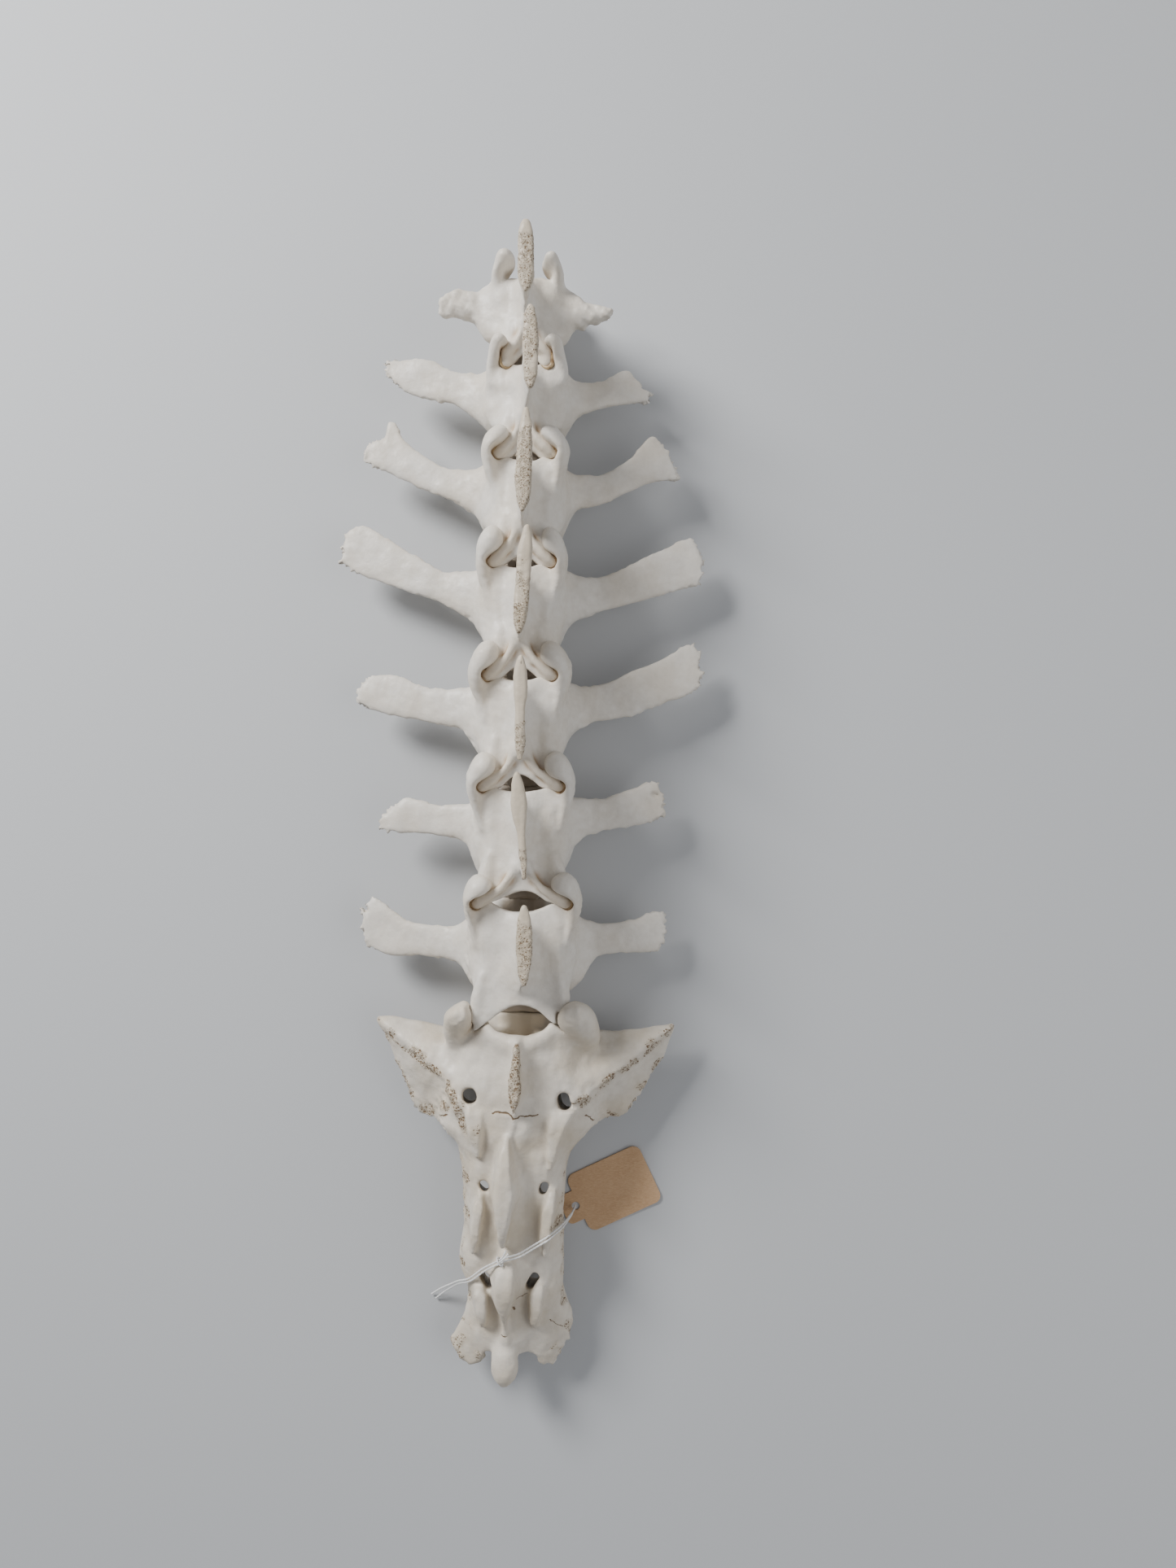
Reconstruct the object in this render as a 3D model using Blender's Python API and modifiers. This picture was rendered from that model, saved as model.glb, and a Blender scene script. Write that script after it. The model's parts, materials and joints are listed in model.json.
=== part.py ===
"""A sheep's lower spine, cleaned and glued in line: the last thoracic vertebra, six lumbar vertebrae
and the sacrum, with a bare card tag on a cotton string.

Metres, +Z up. +Y points to the head end and +X to the animal's right. The spine lies on its belly
side: z = 0 is the surface that it lies on, and the origin is below the middle of its box, to 2 mm.
Sizes below are in millimetres and become metres in mesh_of(). Each bone is made from skins lofted
through named sections, fused into one surface, smoothed, thinned and cut flat where it lies.
"""

import math
from dataclasses import dataclass

import bmesh
import bpy
import numpy as np
from mathutils import Vector

MM = 0.001
GAP = 0.3  # between the end faces of neighbouring bones
CLEARANCE = 0.9  # between a rod-shaped joint process and the lobe that wraps it

# Fusing: the grid that joins the skins, the finer one after openings are cut, and how often the
# surface is smoothed, then the triangles that each bone keeps.
GRID = 0.8
CUT_GRID = 0.7
SMOOTHING = 6
VERTEBRA_TRIANGLES = 1500
SACRUM_TRIANGLES = 3600

# The section through a lumbar vertebra, as heights over the floor.
BODY_TOP = 20.0
ARCH_UNDERSIDE = 30.5
ARCH_TOP = 35.0
ROD_HEIGHT = 33.0

# Joint processes: a rod on the bone in front, held in a lobe on the bone behind.
ROD_RADIUS = 3.0
ROD_REACH = 1.6  # how far the rod passes the joint towards the tail
ROD_ROOT = 12.0  # how far in front of the joint the rod leaves the arch
ROD_SPLAY = 2.6  # how much nearer the middle line the rod starts
LOBE_WALL = 3.4
LOBE_ROOT = 8.0  # how far behind the joint the lobe grows out of the arch


@dataclass(frozen=True)
class Joint:
    """Where two bones meet: its place along the spine, its middle line and the spread of its rods."""

    y: float
    x: float
    spread: float
    lobe_reach: float  # how far the lobes pass the joint towards the head


JOINTS = (
    Joint(189.0, 2.5, 6.6, 3.4),
    Joint(160.0, 2.5, 6.8, 4.6),
    Joint(127.1, 2.0, 8.0, 7.0),
    Joint(90.7, 0.8, 8.8, 10.2),
    Joint(52.4, 0.2, 9.8, 10.6),
    Joint(14.9, 0.5, 11.8, 11.0),
    Joint(-24.3, 0.8, 14.0, 10.5),
    Joint(-64.5, 0.2, 16.2, 7.4),
)


@dataclass(frozen=True)
class Vertebra:
    """One vertebra between two joints. A side process is stations of (reach from the middle line,
    front edge, back edge); edges and the crest's ends are measured from the middle of the body."""

    name: str
    waist: float  # half the arch's width where it is narrowest
    left: tuple
    right: tuple
    side_heights: tuple  # of the side processes at root and tip
    side_halves: tuple  # half thickness of the side processes at root, neck and tip
    crest_top: float  # height of the crest's top
    crest_ends: tuple  # front and back of the crest's top
    crest_lean: tuple  # sideways shift of those two ends


VERTEBRAE = (
    Vertebra(
        "vertebra_t13",
        13.0,
        ((9, 12, -8), (14, 11, -7), (18, 9, -1.5), (24, 9.5, 0), (29, 7.5, 0.7), (31, 5, 3.5)),
        ((9, 11, -9), (12.5, 10, -8.5), (16, 8.5, -3.8), (20, 5.7, -2.4), (25, 4.3, -1), (29.8, 2.4, 0.2)),
        (26.0, 28.0),
        (4.5, 3.6, 2.4),
        65.0,
        (16.0, -6.6),
        (1.6, 1.6),
    ),
    Vertebra(
        "vertebra_l1",
        13.0,
        ((11, 17, -6), (18, 14.8, -1), (26, 16, 4.5), (34, 20, 6.3), (44, 21, 10), (51.5, 20.4, 17)),
        ((11, 16, -6), (17, 12.2, -0.5), (26, 13, 3), (35, 17, 5), (38, 14, 5.5), (44.4, 9, 6.2)),
        (20.0, 16.0),
        (4.6, 1.9, 1.2),
        66.0,
        (20.3, -6.0),
        (3.3, 3.3),
    ),
    Vertebra(
        "vertebra_l2",
        13.2,
        ((11, 19, -7), (18, 16, 0.5), (26, 16.6, 5.8), (35, 21, 9.3), (43, 28, 13), (47, 34, 15),
         (51, 29, 17), (58.3, 23.2, 21)),
        ((11, 18, -6), (18, 14.3, 2), (26, 14.7, 4), (36, 20.5, 8.6), (45, 29, 12.4), (49, 25, 12.8),
         (53.8, 16, 13.8)),
        (20.0, 15.0),
        (4.8, 1.9, 1.2),
        66.0,
        (23.1, -9.7),
        (2.9, 1.4),
    ),
    Vertebra(
        "vertebra_l3",
        13.2,
        ((11, 21, -6), (17, 18, 0), (25, 18, 5.2), (36, 22.6, 9.7), (48, 30.3, 14), (58, 35.2, 17.8),
         (65.3, 29.8, 23)),
        ((11, 20, -6), (17, 17.2, 0), (24, 16, 3), (38, 21.2, 7), (50, 27, 10.5), (59, 30.3, 13.3),
         (64.6, 21, 15.6)),
        (20.0, 14.0),
        (5.0, 1.9, 1.2),
        66.0,
        (24.1, -10.2),
        (4.1, 1.3),
    ),
    Vertebra(
        "vertebra_l4",
        14.2,
        ((11, 18.5, -12), (16, 16, -6), (21, 15.2, 0), (32, 15.3, 3), (46, 20.3, 5.8), (54, 20, 8),
         (60, 13, 11)),
        ((11, 19.5, -10), (16, 16.8, -2), (23, 15.9, 2.3), (38, 21.2, 5.6), (50, 26.3, 10), (59, 31.4, 13.5),
         (64.4, 25, 18)),
        (20.0, 14.0),
        (5.0, 1.9, 1.2),
        65.5,
        (22.2, -11.4),
        (2.3, 1.8),
    ),
    Vertebra(
        "vertebra_l5",
        14.6,
        ((12, 16, -15), (16, 14, -9), (20, 13, -1.5), (30, 12.9, 2), (41, 15.3, 2.9), (51.3, 7.4, 4)),
        ((12, 17, -12), (18, 15, -1), (27, 15, 3.3), (37, 18, 4.8), (46, 21, 7), (50.3, 14, 9.6)),
        (20.0, 15.0),
        (5.0, 2.0, 1.3),
        64.0,
        (23.9, -10.0),
        (0.4, 2.9),
    ),
    Vertebra(
        "vertebra_l6",
        17.6,
        ((13, 14, -14), (18.5, 12.2, -7.5), (25, 10, -2.2), (38, 10.7, -0.8), (48, 16.3, -0.5),
         (53, 20.3, 1.5), (57.8, 14.6, 8)),
        ((13, 15, -15), (20, 12.6, -8.5), (27, 10.8, -0.8), (39, 12.3, 0.3), (47, 15, 0), (51.4, 11.5, 5)),
        (19.0, 13.0),
        (5.2, 2.1, 1.3),
        61.0,
        (21.9, -4.1),
        (2.9, 2.7),
    ),
)

# The bodies of the vertebrae: half width and shape.
BODY_HALF_WIDTH = 14.0
BODY_WAIST = 0.24  # share of the half width lost at mid length
BODY_HOLLOW = 4.2  # how far the belly side lifts at mid length
KEEL = 3.0  # depth of the ridge along the belly side
KEEL_WIDTH = 2.6
SEAT = 0.5  # how far a body passes below the floor before it is cut flat

# Sacrum. The middle line drifts to the left towards the tail.
# Stations of (y, half width, underside, top) for the fused bodies.
SACRAL_BODIES = (
    (-64.65, 14.0, -0.5, 20.0),
    (-75, 12.0, 1.8, 20.0),
    (-96, 13.0, 3.4, 19.5),
    (-118, 10.5, 5.6, 19.0),
    (-140, 9.5, 5.2, 17.5),
    (-158, 9.0, 3.2, 15.5),
    (-174, 8.5, 0.6, 13.5),
    (-187, 7.5, -0.6, 12.0),
)
# Stations of (y, left edge, right edge, edge height, roof height, underside) for the fused arches.
SACRAL_ROOF = (
    (-70.5, -17, 16, 22, 33, 14),
    (-80, -22, 21, 18, 33.5, 11),
    (-92, -27, 25, 17, 33, 10),
    (-102, -29, 26, 16, 31, 10),
    (-111, -22.6, 19, 15.5, 31, 9),
    (-120, -21.1, 15.6, 15, 30.5, 9),
    (-136, -20.4, 14.7, 14, 28.5, 8),
    (-152, -22.2, 14.6, 13, 26, 7),
    (-166, -19, 14.4, 11, 23, 4),
    (-177, -19.4, 15.2, 9, 20, 3),
)
# Stations of (reach from the middle line, front edge, back edge) for the wings.
WING_LEFT = ((12, -68, -100), (28, -69.6, -103), (35, -69, -102.5), (39, -68.2, -93), (45, -65.8, -78),
             (51, -66.8, -68.5))
WING_RIGHT = ((12, -69, -100), (27, -71.6, -103), (34.5, -72.3, -103.3), (42, -71.3, -93), (50, -69.6, -80),
              (54, -69.6, -71))
WING_HEIGHTS = (17.0, 14.0)
WING_HALVES = (7.0, 4.4, 1.8)
# Ridges of (x, y, height, half width) with the depth of their roots: the two middle crests, the crests
# on each side of them, which end in points towards the tail, and those that run out along the wings.
SACRAL_RIDGES = (
    (((-4.6, -103, 32.5, 0.9), (-4.9, -112, 35.5, 1.7), (-4.9, -122, 37, 3.0), (-5.3, -133, 35.5, 2.6),
      (-5.8, -142, 31, 1.0)), 11.0),
    (((-5.0, -146, 29, 1.0), (-5.0, -155, 30.5, 2.4), (-5.2, -163, 28, 2.0), (-5.4, -172, 24, 1.0)), 9.0),
    (((-22.5, -92, 29, 2.6), (-19.5, -100, 30.5, 2.0), (-14.6, -112, 30.5, 0.8)), 9.0),
    (((17.5, -92, 30, 2.8), (12.6, -101, 31.5, 2.0), (9.4, -116.5, 30.5, 0.8)), 9.0),
    (((-16.2, -123, 27, 0.9), (-16.0, -133, 29.3, 1.7), (-16.6, -146.4, 28, 0.7)), 9.0),
    (((8.0, -124, 28, 0.9), (8.2, -134, 29.6, 1.7), (9.1, -147.4, 27.6, 0.7)), 9.0),
    (((-14.6, -157, 22, 1.4), (-14.6, -165, 24, 1.9), (-13.6, -172.6, 22, 1.3)), 7.0),
    (((6.2, -157, 22, 1.4), (5.8, -165, 24, 1.9), (4.8, -172.6, 22, 1.3)), 7.0),
    (((-46.5, -67.5, 17, 1.2), (-36, -77, 22, 1.8), (-26, -90, 28, 2.2)), 8.0),
    (((46.5, -71, 17, 1.2), (35, -80, 22, 1.8), (25, -91, 28, 2.2)), 8.0),
)
# The last segment's side plates, as stations of (reach from the middle line, front edge, back edge).
END_PLATE_LEFT = ((3, -168, -181), (6.5, -168, -183.5), (9.4, -170, -188.6), (14, -172, -191.2),
                  (19, -178, -190.2), (21.5, -182.4, -186.6))
END_PLATE_RIGHT = ((3, -168, -181), (7, -168, -184), (10.2, -168, -189), (14, -168, -191.8),
                   (17.4, -168, -191.4), (20.3, -174, -187.4), (21.3, -179, -183.6))
END_PLATE_HEIGHTS = (14.0, 11.0)
END_PLATE_HALVES = (4.0, 2.2, 1.5)

TAG_LENGTH = 35.0
TAG_WIDTH = 22.4
TAG_NECK = 11.2
TAG_NECK_LENGTH = 6.0
TAG_CORNER = 3.0
TAG_HOLE = 1.5
TAG_HOLE_INSET = 5.0
TAG_THICKNESS = 0.6
TAG_END = (45.9, -126.4)  # middle of the end away from the hole
TAG_ANGLE = math.radians(25)

# The string lies doubled over the sacrum: from the tag's hole up the bone's right side, over its back
# to a knot beside the crest, and down its left side to two cut ends on the floor.
STRING_RADIUS = 0.35
STRING_STEP = 1.75  # between points of the tubes
STRING_ROUTE = (
    (18.3, -139.1, 1.3),
    (17.6, -138.7, 8.0),
    (16.2, -138.3, 15.0),
    (14.8, -138.1, 20.6),
    (12.4, -138.2, 26.2),
    (8.6, -139.4, 31.2),
    (3.2, -143.6, 28.8),
    (-1.0, -146.0, 29.4),
    (-4.4, -146.8, 31.2),
    (-6.9, -148.0, 30.9),
    (-12.1, -151.8, 27.0),
    (-17.8, -156.6, 22.2),
    (-22.6, -160.6, 15.2),
    (-26.4, -164.6, 9.4),
    (-29.8, -168.4, 4.2),
    (-33.2, -171.9, 0.9),
)
STRAND_SPACING = 1.05
STRAND_END_SPACING = 2.2
KNOT_POINT = 9  # of the route
KNOT_HALVES = (1.55, 1.05)  # of the ring that the knot makes round both strands

BONE = ((0.62, 0.59, 0.54), 0.55)
CARD = ((0.45, 0.26, 0.13), 0.85)
COTTON = ((0.78, 0.77, 0.74), 0.9)


def clear_scene():
    """Removes what the start-up file holds."""
    for thing in list(bpy.data.objects):
        bpy.data.objects.remove(thing)


def collection_of(name):
    made = bpy.data.collections.new(name)
    bpy.context.scene.collection.children.link(made)
    return made


def material_of(name, finish):
    colour, roughness = finish
    made = bpy.data.materials.new(name)
    made.use_nodes = True
    shader = made.node_tree.nodes["Principled BSDF"]
    shader.inputs["Base Color"].default_value = (*colour, 1)
    shader.inputs["Roughness"].default_value = roughness
    shader.inputs["Metallic"].default_value = 0
    return made


def through(stations, count):
    """count rows along a smooth curve through the stations, which are ordered by their first value.
    Slopes at the stations are averages of the neighbours', held low enough that no value overshoots."""
    rows = np.array(stations, float)
    steps = np.diff(rows, axis=0)
    rates = steps[:, 1:] / steps[:, :1]
    slopes = np.vstack([rates[:1], (rates[1:] + rates[:-1]) / 2, rates[-1:]])
    turning = rates[1:] * rates[:-1] <= 0
    slopes[1:-1][turning] = 0
    least = np.minimum(abs(rates[1:]), abs(rates[:-1])) * 3
    slopes[1:-1] = np.clip(slopes[1:-1], -least, least)
    at = np.linspace(rows[0, 0], rows[-1, 0], count)
    order = np.sign(rows[-1, 0] - rows[0, 0])
    span = np.clip(np.searchsorted(order * rows[:, 0], order * at, side="right") - 1, 0, len(rows) - 2)
    width = steps[span, :1]
    t = ((at - rows[span, 0]) / steps[span, 0])[:, None]
    low, high = rows[span, 1:], rows[span + 1, 1:]
    values = (
        (1 + 2 * t) * (1 - t) ** 2 * low
        + t * (1 - t) ** 2 * width * slopes[span]
        + t**2 * (3 - 2 * t) * high
        + t**2 * (t - 1) * width * slopes[span + 1]
    )
    return np.column_stack([at, values])


def rounded(count, power=2.4):
    """Unit points round a squarish circle, as two columns."""
    turn = np.linspace(0, 2 * math.pi, count, endpoint=False)
    cosine, sine = np.cos(turn), np.sin(turn)
    reach = (abs(cosine) ** power + abs(sine) ** power) ** (-1 / power)
    return np.column_stack([cosine, sine]) * reach[:, None]


def skin(rings):
    """A closed surface through rings of equally many points: (points, faces)."""
    rings = np.asarray(rings, float)
    rows, count = rings.shape[:2]
    faces = []
    for row in range(rows - 1):
        for i in range(count):
            a, b = row * count + i, row * count + (i + 1) % count
            faces.append((a, b, b + count, a + count))
    faces.append(tuple(range(count))[::-1])
    faces.append(tuple(range((rows - 1) * count, rows * count)))
    return rings.reshape(-1, 3), faces


def tube(path, radii, sides=10):
    """A round skin along a path, with its ends drawn in to domes."""
    path, radii = np.array(path, float), np.array(radii, float)
    first, last = path[0] - path[1], path[-1] - path[-2]
    first, last = first / np.linalg.norm(first), last / np.linalg.norm(last)
    path = np.vstack([path[0] + first * radii[0] * 0.6, path, path[-1] + last * radii[-1] * 0.6])
    radii = np.concatenate([[radii[0] * 0.6], radii, [radii[-1] * 0.6]])
    along = np.gradient(path, axis=0)
    along /= np.linalg.norm(along, axis=1)[:, None]
    side = np.cross(along, (0.0, 0.0, 1.0))
    side /= np.linalg.norm(side, axis=1)[:, None]
    up = np.cross(side, along)
    turn = np.linspace(0, 2 * math.pi, sides, endpoint=False)
    spokes = np.cos(turn)[None, :, None] * side[:, None] + np.sin(turn)[None, :, None] * up[:, None]
    return skin(path[:, None] + radii[:, None, None] * spokes)


def ridge(tops, depth):
    """A raised line of bone along tops of (x, y, height, half width), which widens to its root."""
    rows = through(sorted(((y, x, height, half) for x, y, height, half in tops), reverse=True), 4 * len(tops))
    rings = []
    for y, x, height, half in rows:
        across = half * np.array((-1.9, -1.2, -0.75, -0.3, 0.3, 0.75, 1.2, 1.9))
        fall = depth * np.array((1.0, 0.45, 0.14, 0.0, 0.0, 0.14, 0.45, 1.0))
        rings.append(np.column_stack([x + across, np.full(8, y), height - fall]))
    return skin(rings)


def centrum(stations, middle):
    """The round body of one bone, or the fused bodies of several, along stations of
    (y, half width, underside, top), with a ridge along the belly side."""
    rings = []
    for y, half, low, high in through(stations, 4 * len(stations)):
        across, upright = (rounded(24) * (half, (high - low) / 2)).T
        height = (high + low) / 2 + upright
        ridge = KEEL * (low + SEAT) / BODY_HOLLOW * np.exp(-((across / KEEL_WIDTH) ** 2))
        height = height - np.where(upright < 0, np.clip(ridge, 0, KEEL), 0)
        rings.append(np.column_stack([middle(y) + across, np.full(24, y), height]))
    return skin(rings)


def side_process(stations, side, middle, centre_y, heights, halves):
    """A flat process that grows sideways: sections across it at stations of (reach, front, back)."""
    rings = []
    rows = through(stations, 3 * len(stations))
    reach = rows[:, 0]
    share = (reach - reach[0]) / (reach[-1] - reach[0])
    half = np.interp(share, (0, 0.3, 1), halves)
    height = heights[0] + (heights[1] - heights[0]) * share
    for (out, front, back), thick, level in zip(rows, half, height):
        chord, upright = (rounded(14) * ((front - back) / 2, thick)).T
        y = centre_y + (front + back) / 2 + chord
        rings.append(np.column_stack([np.full(14, middle + side * out), y, level + upright]))
    return skin(rings)


def arch_roof(stations, middle, front_hollow, back_hollow):
    """The vaulted plate over the canal, along stations of (y, half width, height of its sides,
    height of its top). Its two ends are hollowed towards its middle."""
    rows = through(stations, 14)
    turn = np.linspace(0, math.pi, 9)
    share = np.linspace(0, 1, 14)
    rings = []
    for (y, half, low, high), part in zip(rows, share):
        outer = np.column_stack([half * np.cos(turn), low + (high - low) * np.sin(turn) ** 0.7])
        thick = ARCH_TOP - ARCH_UNDERSIDE
        room = (half - thick, high - low - thick * 0.9)
        inner = np.column_stack([room[0] * np.cos(turn), low + room[1] * np.sin(turn) ** 0.7])[::-1]
        across, height = np.vstack([outer, inner]).T
        bow = np.clip(1 - (across / half) ** 2, 0, 1)
        slide = bow * (back_hollow * (1 - part) ** 3 - front_hollow * part**3)
        rings.append(np.column_stack([middle(y) + across, y + slide, height]))
    return skin(rings)


def pedicle(side, middle, front, back, inner, outer):
    """The upright wall between body and arch on one side."""
    rings = []
    for level, flare in ((15, 1.5), (19, 0.6), (23, 0), (27, 0.3), (31, 1.2)):
        across, along = (rounded(12, 3) * ((outer - inner) / 2, (front - back) / 2 + flare)).T
        x = middle + side * ((outer + inner) / 2 + across)
        rings.append(np.column_stack([x, (front + back) / 2 + along, np.full(12, level)]))
    return skin(rings)


def rod_axis(joint, side, beyond):
    """A point on a rod's axis, this far in front of the joint. Rods spread towards the tail."""
    share = (ROD_ROOT - beyond) / (ROD_ROOT + ROD_REACH)
    spread = joint.spread - ROD_SPLAY * (1 - share)
    return np.array((joint.x + side * spread, joint.y + beyond, ROD_HEIGHT + 1.5 * (1 - share)))


def rod(joint, side):
    """The joint process on the bone in front of the joint, pointing to the tail."""
    places = (ROD_ROOT + 4, ROD_ROOT, 7, 2, ROD_RADIUS * 0.6 - ROD_REACH)
    radii = (1.6, 2.4, ROD_RADIUS, ROD_RADIUS, ROD_RADIUS * 0.9)
    return tube([rod_axis(joint, side, place) for place in places], radii)


def lobe(joint, side):
    """The joint process on the bone behind: a wall bent round the rod's outer side, open to the middle."""
    room = ROD_RADIUS + CLEARANCE
    reach = joint.lobe_reach
    rings = []
    for share in np.linspace(0, 1, 11):
        beyond = -LOBE_ROOT + (reach + LOBE_ROOT) * share
        swell = math.sin(math.pi * (0.12 + 0.8 * share)) ** 0.6
        wall = LOBE_WALL * (0.35 + 0.65 * swell)
        low = math.radians(-80 + 50 * share**3)
        high = math.radians(112 * (0.5 + 0.5 * swell))
        turn = np.linspace(low, high, 8)
        centre = rod_axis(joint, side, beyond)
        outer = (room + wall) * np.column_stack([np.cos(turn), np.sin(turn)])
        inner = room * np.column_stack([np.cos(turn), np.sin(turn)])[::-1]
        across, upright = np.vstack([outer, inner]).T
        rings.append(np.column_stack([centre[0] + side * across, np.full(16, centre[1]), centre[2] + upright]))
    return skin(rings)


def blade(base_ends, top_ends, lean, base, top, halves, middle):
    """An upright crest, as flat sections from its base to its top. lean shifts the top's front and
    back ends sideways. halves are its half thickness at base, middle and top."""
    rings = []
    for share in np.linspace(0, 1, 9):
        eased = share * share * (3 - 2 * share)
        front, back = (b + (t - b) * eased for b, t in zip(base_ends, top_ends))
        half = np.interp(share, (0, 0.35, 0.8, 1), (halves[0], halves[1], halves[1], halves[2]))
        across, along = (rounded(16, 2.6) * (half, (front - back) / 2)).T
        y = (front + back) / 2 + along
        shift = (lean[1] + (lean[0] - lean[1]) * (y - back) / (front - back)) * share**1.4
        rings.append(np.column_stack([middle + shift + across, y, np.full(16, base + (top - base) * share)]))
    return skin(rings)


def vertebra_skins(bone, front_joint, back_joint):
    """All the skins of one vertebra."""
    length = front_joint.y - back_joint.y
    centre_y = (front_joint.y + back_joint.y) / 2
    centre_x = (front_joint.x + back_joint.x) / 2

    def middle(y):
        return back_joint.x + (front_joint.x - back_joint.x) * (y - back_joint.y) / length

    half = length / 2 - GAP / 2
    mid = BODY_HALF_WIDTH * (1 - BODY_WAIST)
    body = (
        (centre_y - half, BODY_HALF_WIDTH, -SEAT, BODY_TOP + 0.6),
        (centre_y - half + 3, BODY_HALF_WIDTH - 0.2, -SEAT, BODY_TOP + 0.3),
        (centre_y, mid, BODY_HOLLOW, BODY_TOP),
        (centre_y + half - 3, BODY_HALF_WIDTH - 0.7, -SEAT, BODY_TOP + 0.3),
        (centre_y + half, BODY_HALF_WIDTH - 0.7, -SEAT, BODY_TOP + 0.6),
    )
    arch = (
        (back_joint.y + 1.2, back_joint.spread - 1.5, 30.5, ARCH_TOP - 0.5),
        (back_joint.y + 6, back_joint.spread - 1.2, 30.0, ARCH_TOP),
        (back_joint.y + 11.5, back_joint.spread + 0.3, 28.5, ARCH_TOP),
        (back_joint.y + 15, bone.waist, 26.5, ARCH_TOP),
        (centre_y + 3, bone.waist + 0.6, 26.0, ARCH_TOP),
        (front_joint.y - 6, front_joint.spread + 4.5, 27.5, ARCH_TOP + 0.5),
        (front_joint.y - 2.6, front_joint.spread + 3.0, 29.0, ARCH_TOP),
    )
    crest_base = (front_joint.y - 6.5, back_joint.y + 4.5)
    crest_top = (centre_y + bone.crest_ends[0], centre_y + bone.crest_ends[1])
    skins = [
        centrum(body, middle),
        arch_roof(arch, middle, 1.2, 3.0),
        blade(crest_base, crest_top, bone.crest_lean, ARCH_UNDERSIDE + 2, bone.crest_top, (2.4, 1.5, 2.1), centre_x),
    ]
    for side, stations in ((-1, bone.left), (1, bone.right)):
        outer = bone.waist - 0.3
        skins += [
            pedicle(side, centre_x, front_joint.y - 4.5, back_joint.y + 14.5, outer - 4.4, outer),
            lobe(front_joint, side),
            rod(back_joint, side),
            side_process(stations, side, centre_x, centre_y, bone.side_heights, bone.side_halves),
        ]
    return skins


def sacral_middle(y):
    """The sacrum's middle line, which drifts to the left towards the tail."""
    return float(np.interp(-y, (60, 100, 140, 190), (0.2, -1.5, -3.2, -4.6)))


def sacral_roof():
    """The fused arches and the thick side masses that carry the wings, as one vaulted solid."""
    turn = np.linspace(0, math.pi, 11)
    rings = []
    for y, left, right, edge, top, low in through(SACRAL_ROOF, 30):
        across = np.cos(turn)
        vault = np.column_stack([across, edge + (top - edge) * np.sin(turn) ** 0.9])
        belly = np.column_stack([-across[1:-1], edge - (edge - low) * np.sin(turn[1:-1]) ** 0.5])
        unit, height = np.vstack([vault, belly]).T
        x = (left + right) / 2 + unit * (right - left) / 2
        rings.append(np.column_stack([x, np.full(len(x), y), height]))
    return skin(rings)


def sacrum_skins():
    """All the skins of the sacrum."""
    joint = JOINTS[-1]
    skins = [centrum(SACRAL_BODIES, sacral_middle), sacral_roof()]
    wing_middle = sacral_middle(-80)
    for side, stations in ((-1, WING_LEFT), (1, WING_RIGHT)):
        skins.append(side_process(stations, side, wing_middle, 0.0, WING_HEIGHTS, WING_HALVES))
        skins.append(lobe(joint, side))
        skins.append(pedicle(side, joint.x, -68, -80, 10.5, 17))
    skins.append(blade((-71, -95), (-70.5, -94.5), (0, 0), 30, 41, (2.6, 2.2, 2.1), -0.9))
    skins += [ridge(tops, depth) for tops, depth in SACRAL_RIDGES]
    # The last segment: two broken side plates and the blunt crest between them.
    for side, stations in ((-1, END_PLATE_LEFT), (1, END_PLATE_RIGHT)):
        skins.append(side_process(stations, side, sacral_middle(-180), 0.0, END_PLATE_HEIGHTS, END_PLATE_HALVES))
    skins.append(tube(((-5.2, -168, 16.5), (-5.5, -180, 17.5), (-6.0, -188.6, 18.5), (-6.2, -193.2, 18)),
                      (3.2, 3.6, 4.7, 3.3)))
    return skins


def mesh_of(name, skins):
    """One mesh in metres from skins in millimetres."""
    points, faces, start = [], [], 0
    for skin_points, skin_faces in skins:
        points.append(skin_points * MM)
        faces += [tuple(i + start for i in face) for face in skin_faces]
        start += len(skin_points)
    mesh = bpy.data.meshes.new(name)
    mesh.from_pydata(np.vstack(points).tolist(), [], faces)
    shape = bmesh.new()
    shape.from_mesh(mesh)
    bmesh.ops.recalc_face_normals(shape, faces=shape.faces)
    shape.to_mesh(mesh)
    shape.free()
    return mesh


def evaluated(thing):
    """A new mesh of the object as its modifiers leave it."""
    graph = bpy.context.evaluated_depsgraph_get()
    return bpy.data.meshes.new_from_object(thing.evaluated_get(graph))


def largest_surface(shape):
    """Removes all but the surface with the most faces, so that no scrap or sealed hollow is left."""
    unseen = set(shape.faces)
    surfaces = []
    while unseen:
        found, edge_of_search = set(), [next(iter(unseen))]
        while edge_of_search:
            face = edge_of_search.pop()
            if face in found:
                continue
            found.add(face)
            edge_of_search += [near for edge in face.edges for near in edge.link_faces if near not in found]
        unseen -= found
        surfaces.append(found)
    keep = max(surfaces, key=len)
    scraps = [face for face in shape.faces if face not in keep]
    bmesh.ops.delete(shape, geom=scraps, context="FACES")


def cut_flat_at_floor(shape):
    """Takes away what is below the floor and closes the cuts, which become the flats it lies on."""
    everything = shape.verts[:] + shape.edges[:] + shape.faces[:]
    bmesh.ops.bisect_plane(
        shape, geom=everything, dist=1e-7, plane_co=(0, 0, 0), plane_no=(0, 0, -1), clear_outer=True
    )
    rims = [edge for edge in shape.edges if edge.is_boundary]
    bmesh.ops.holes_fill(shape, edges=rims, sides=0)
    bmesh.ops.triangulate(shape, faces=shape.faces[:], ngon_method="EAR_CLIP")


def fuse_on_grid(thing, name, size):
    fuse = thing.modifiers.new(name, "REMESH")
    fuse.mode = "VOXEL"
    fuse.voxel_size = size * MM


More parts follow.
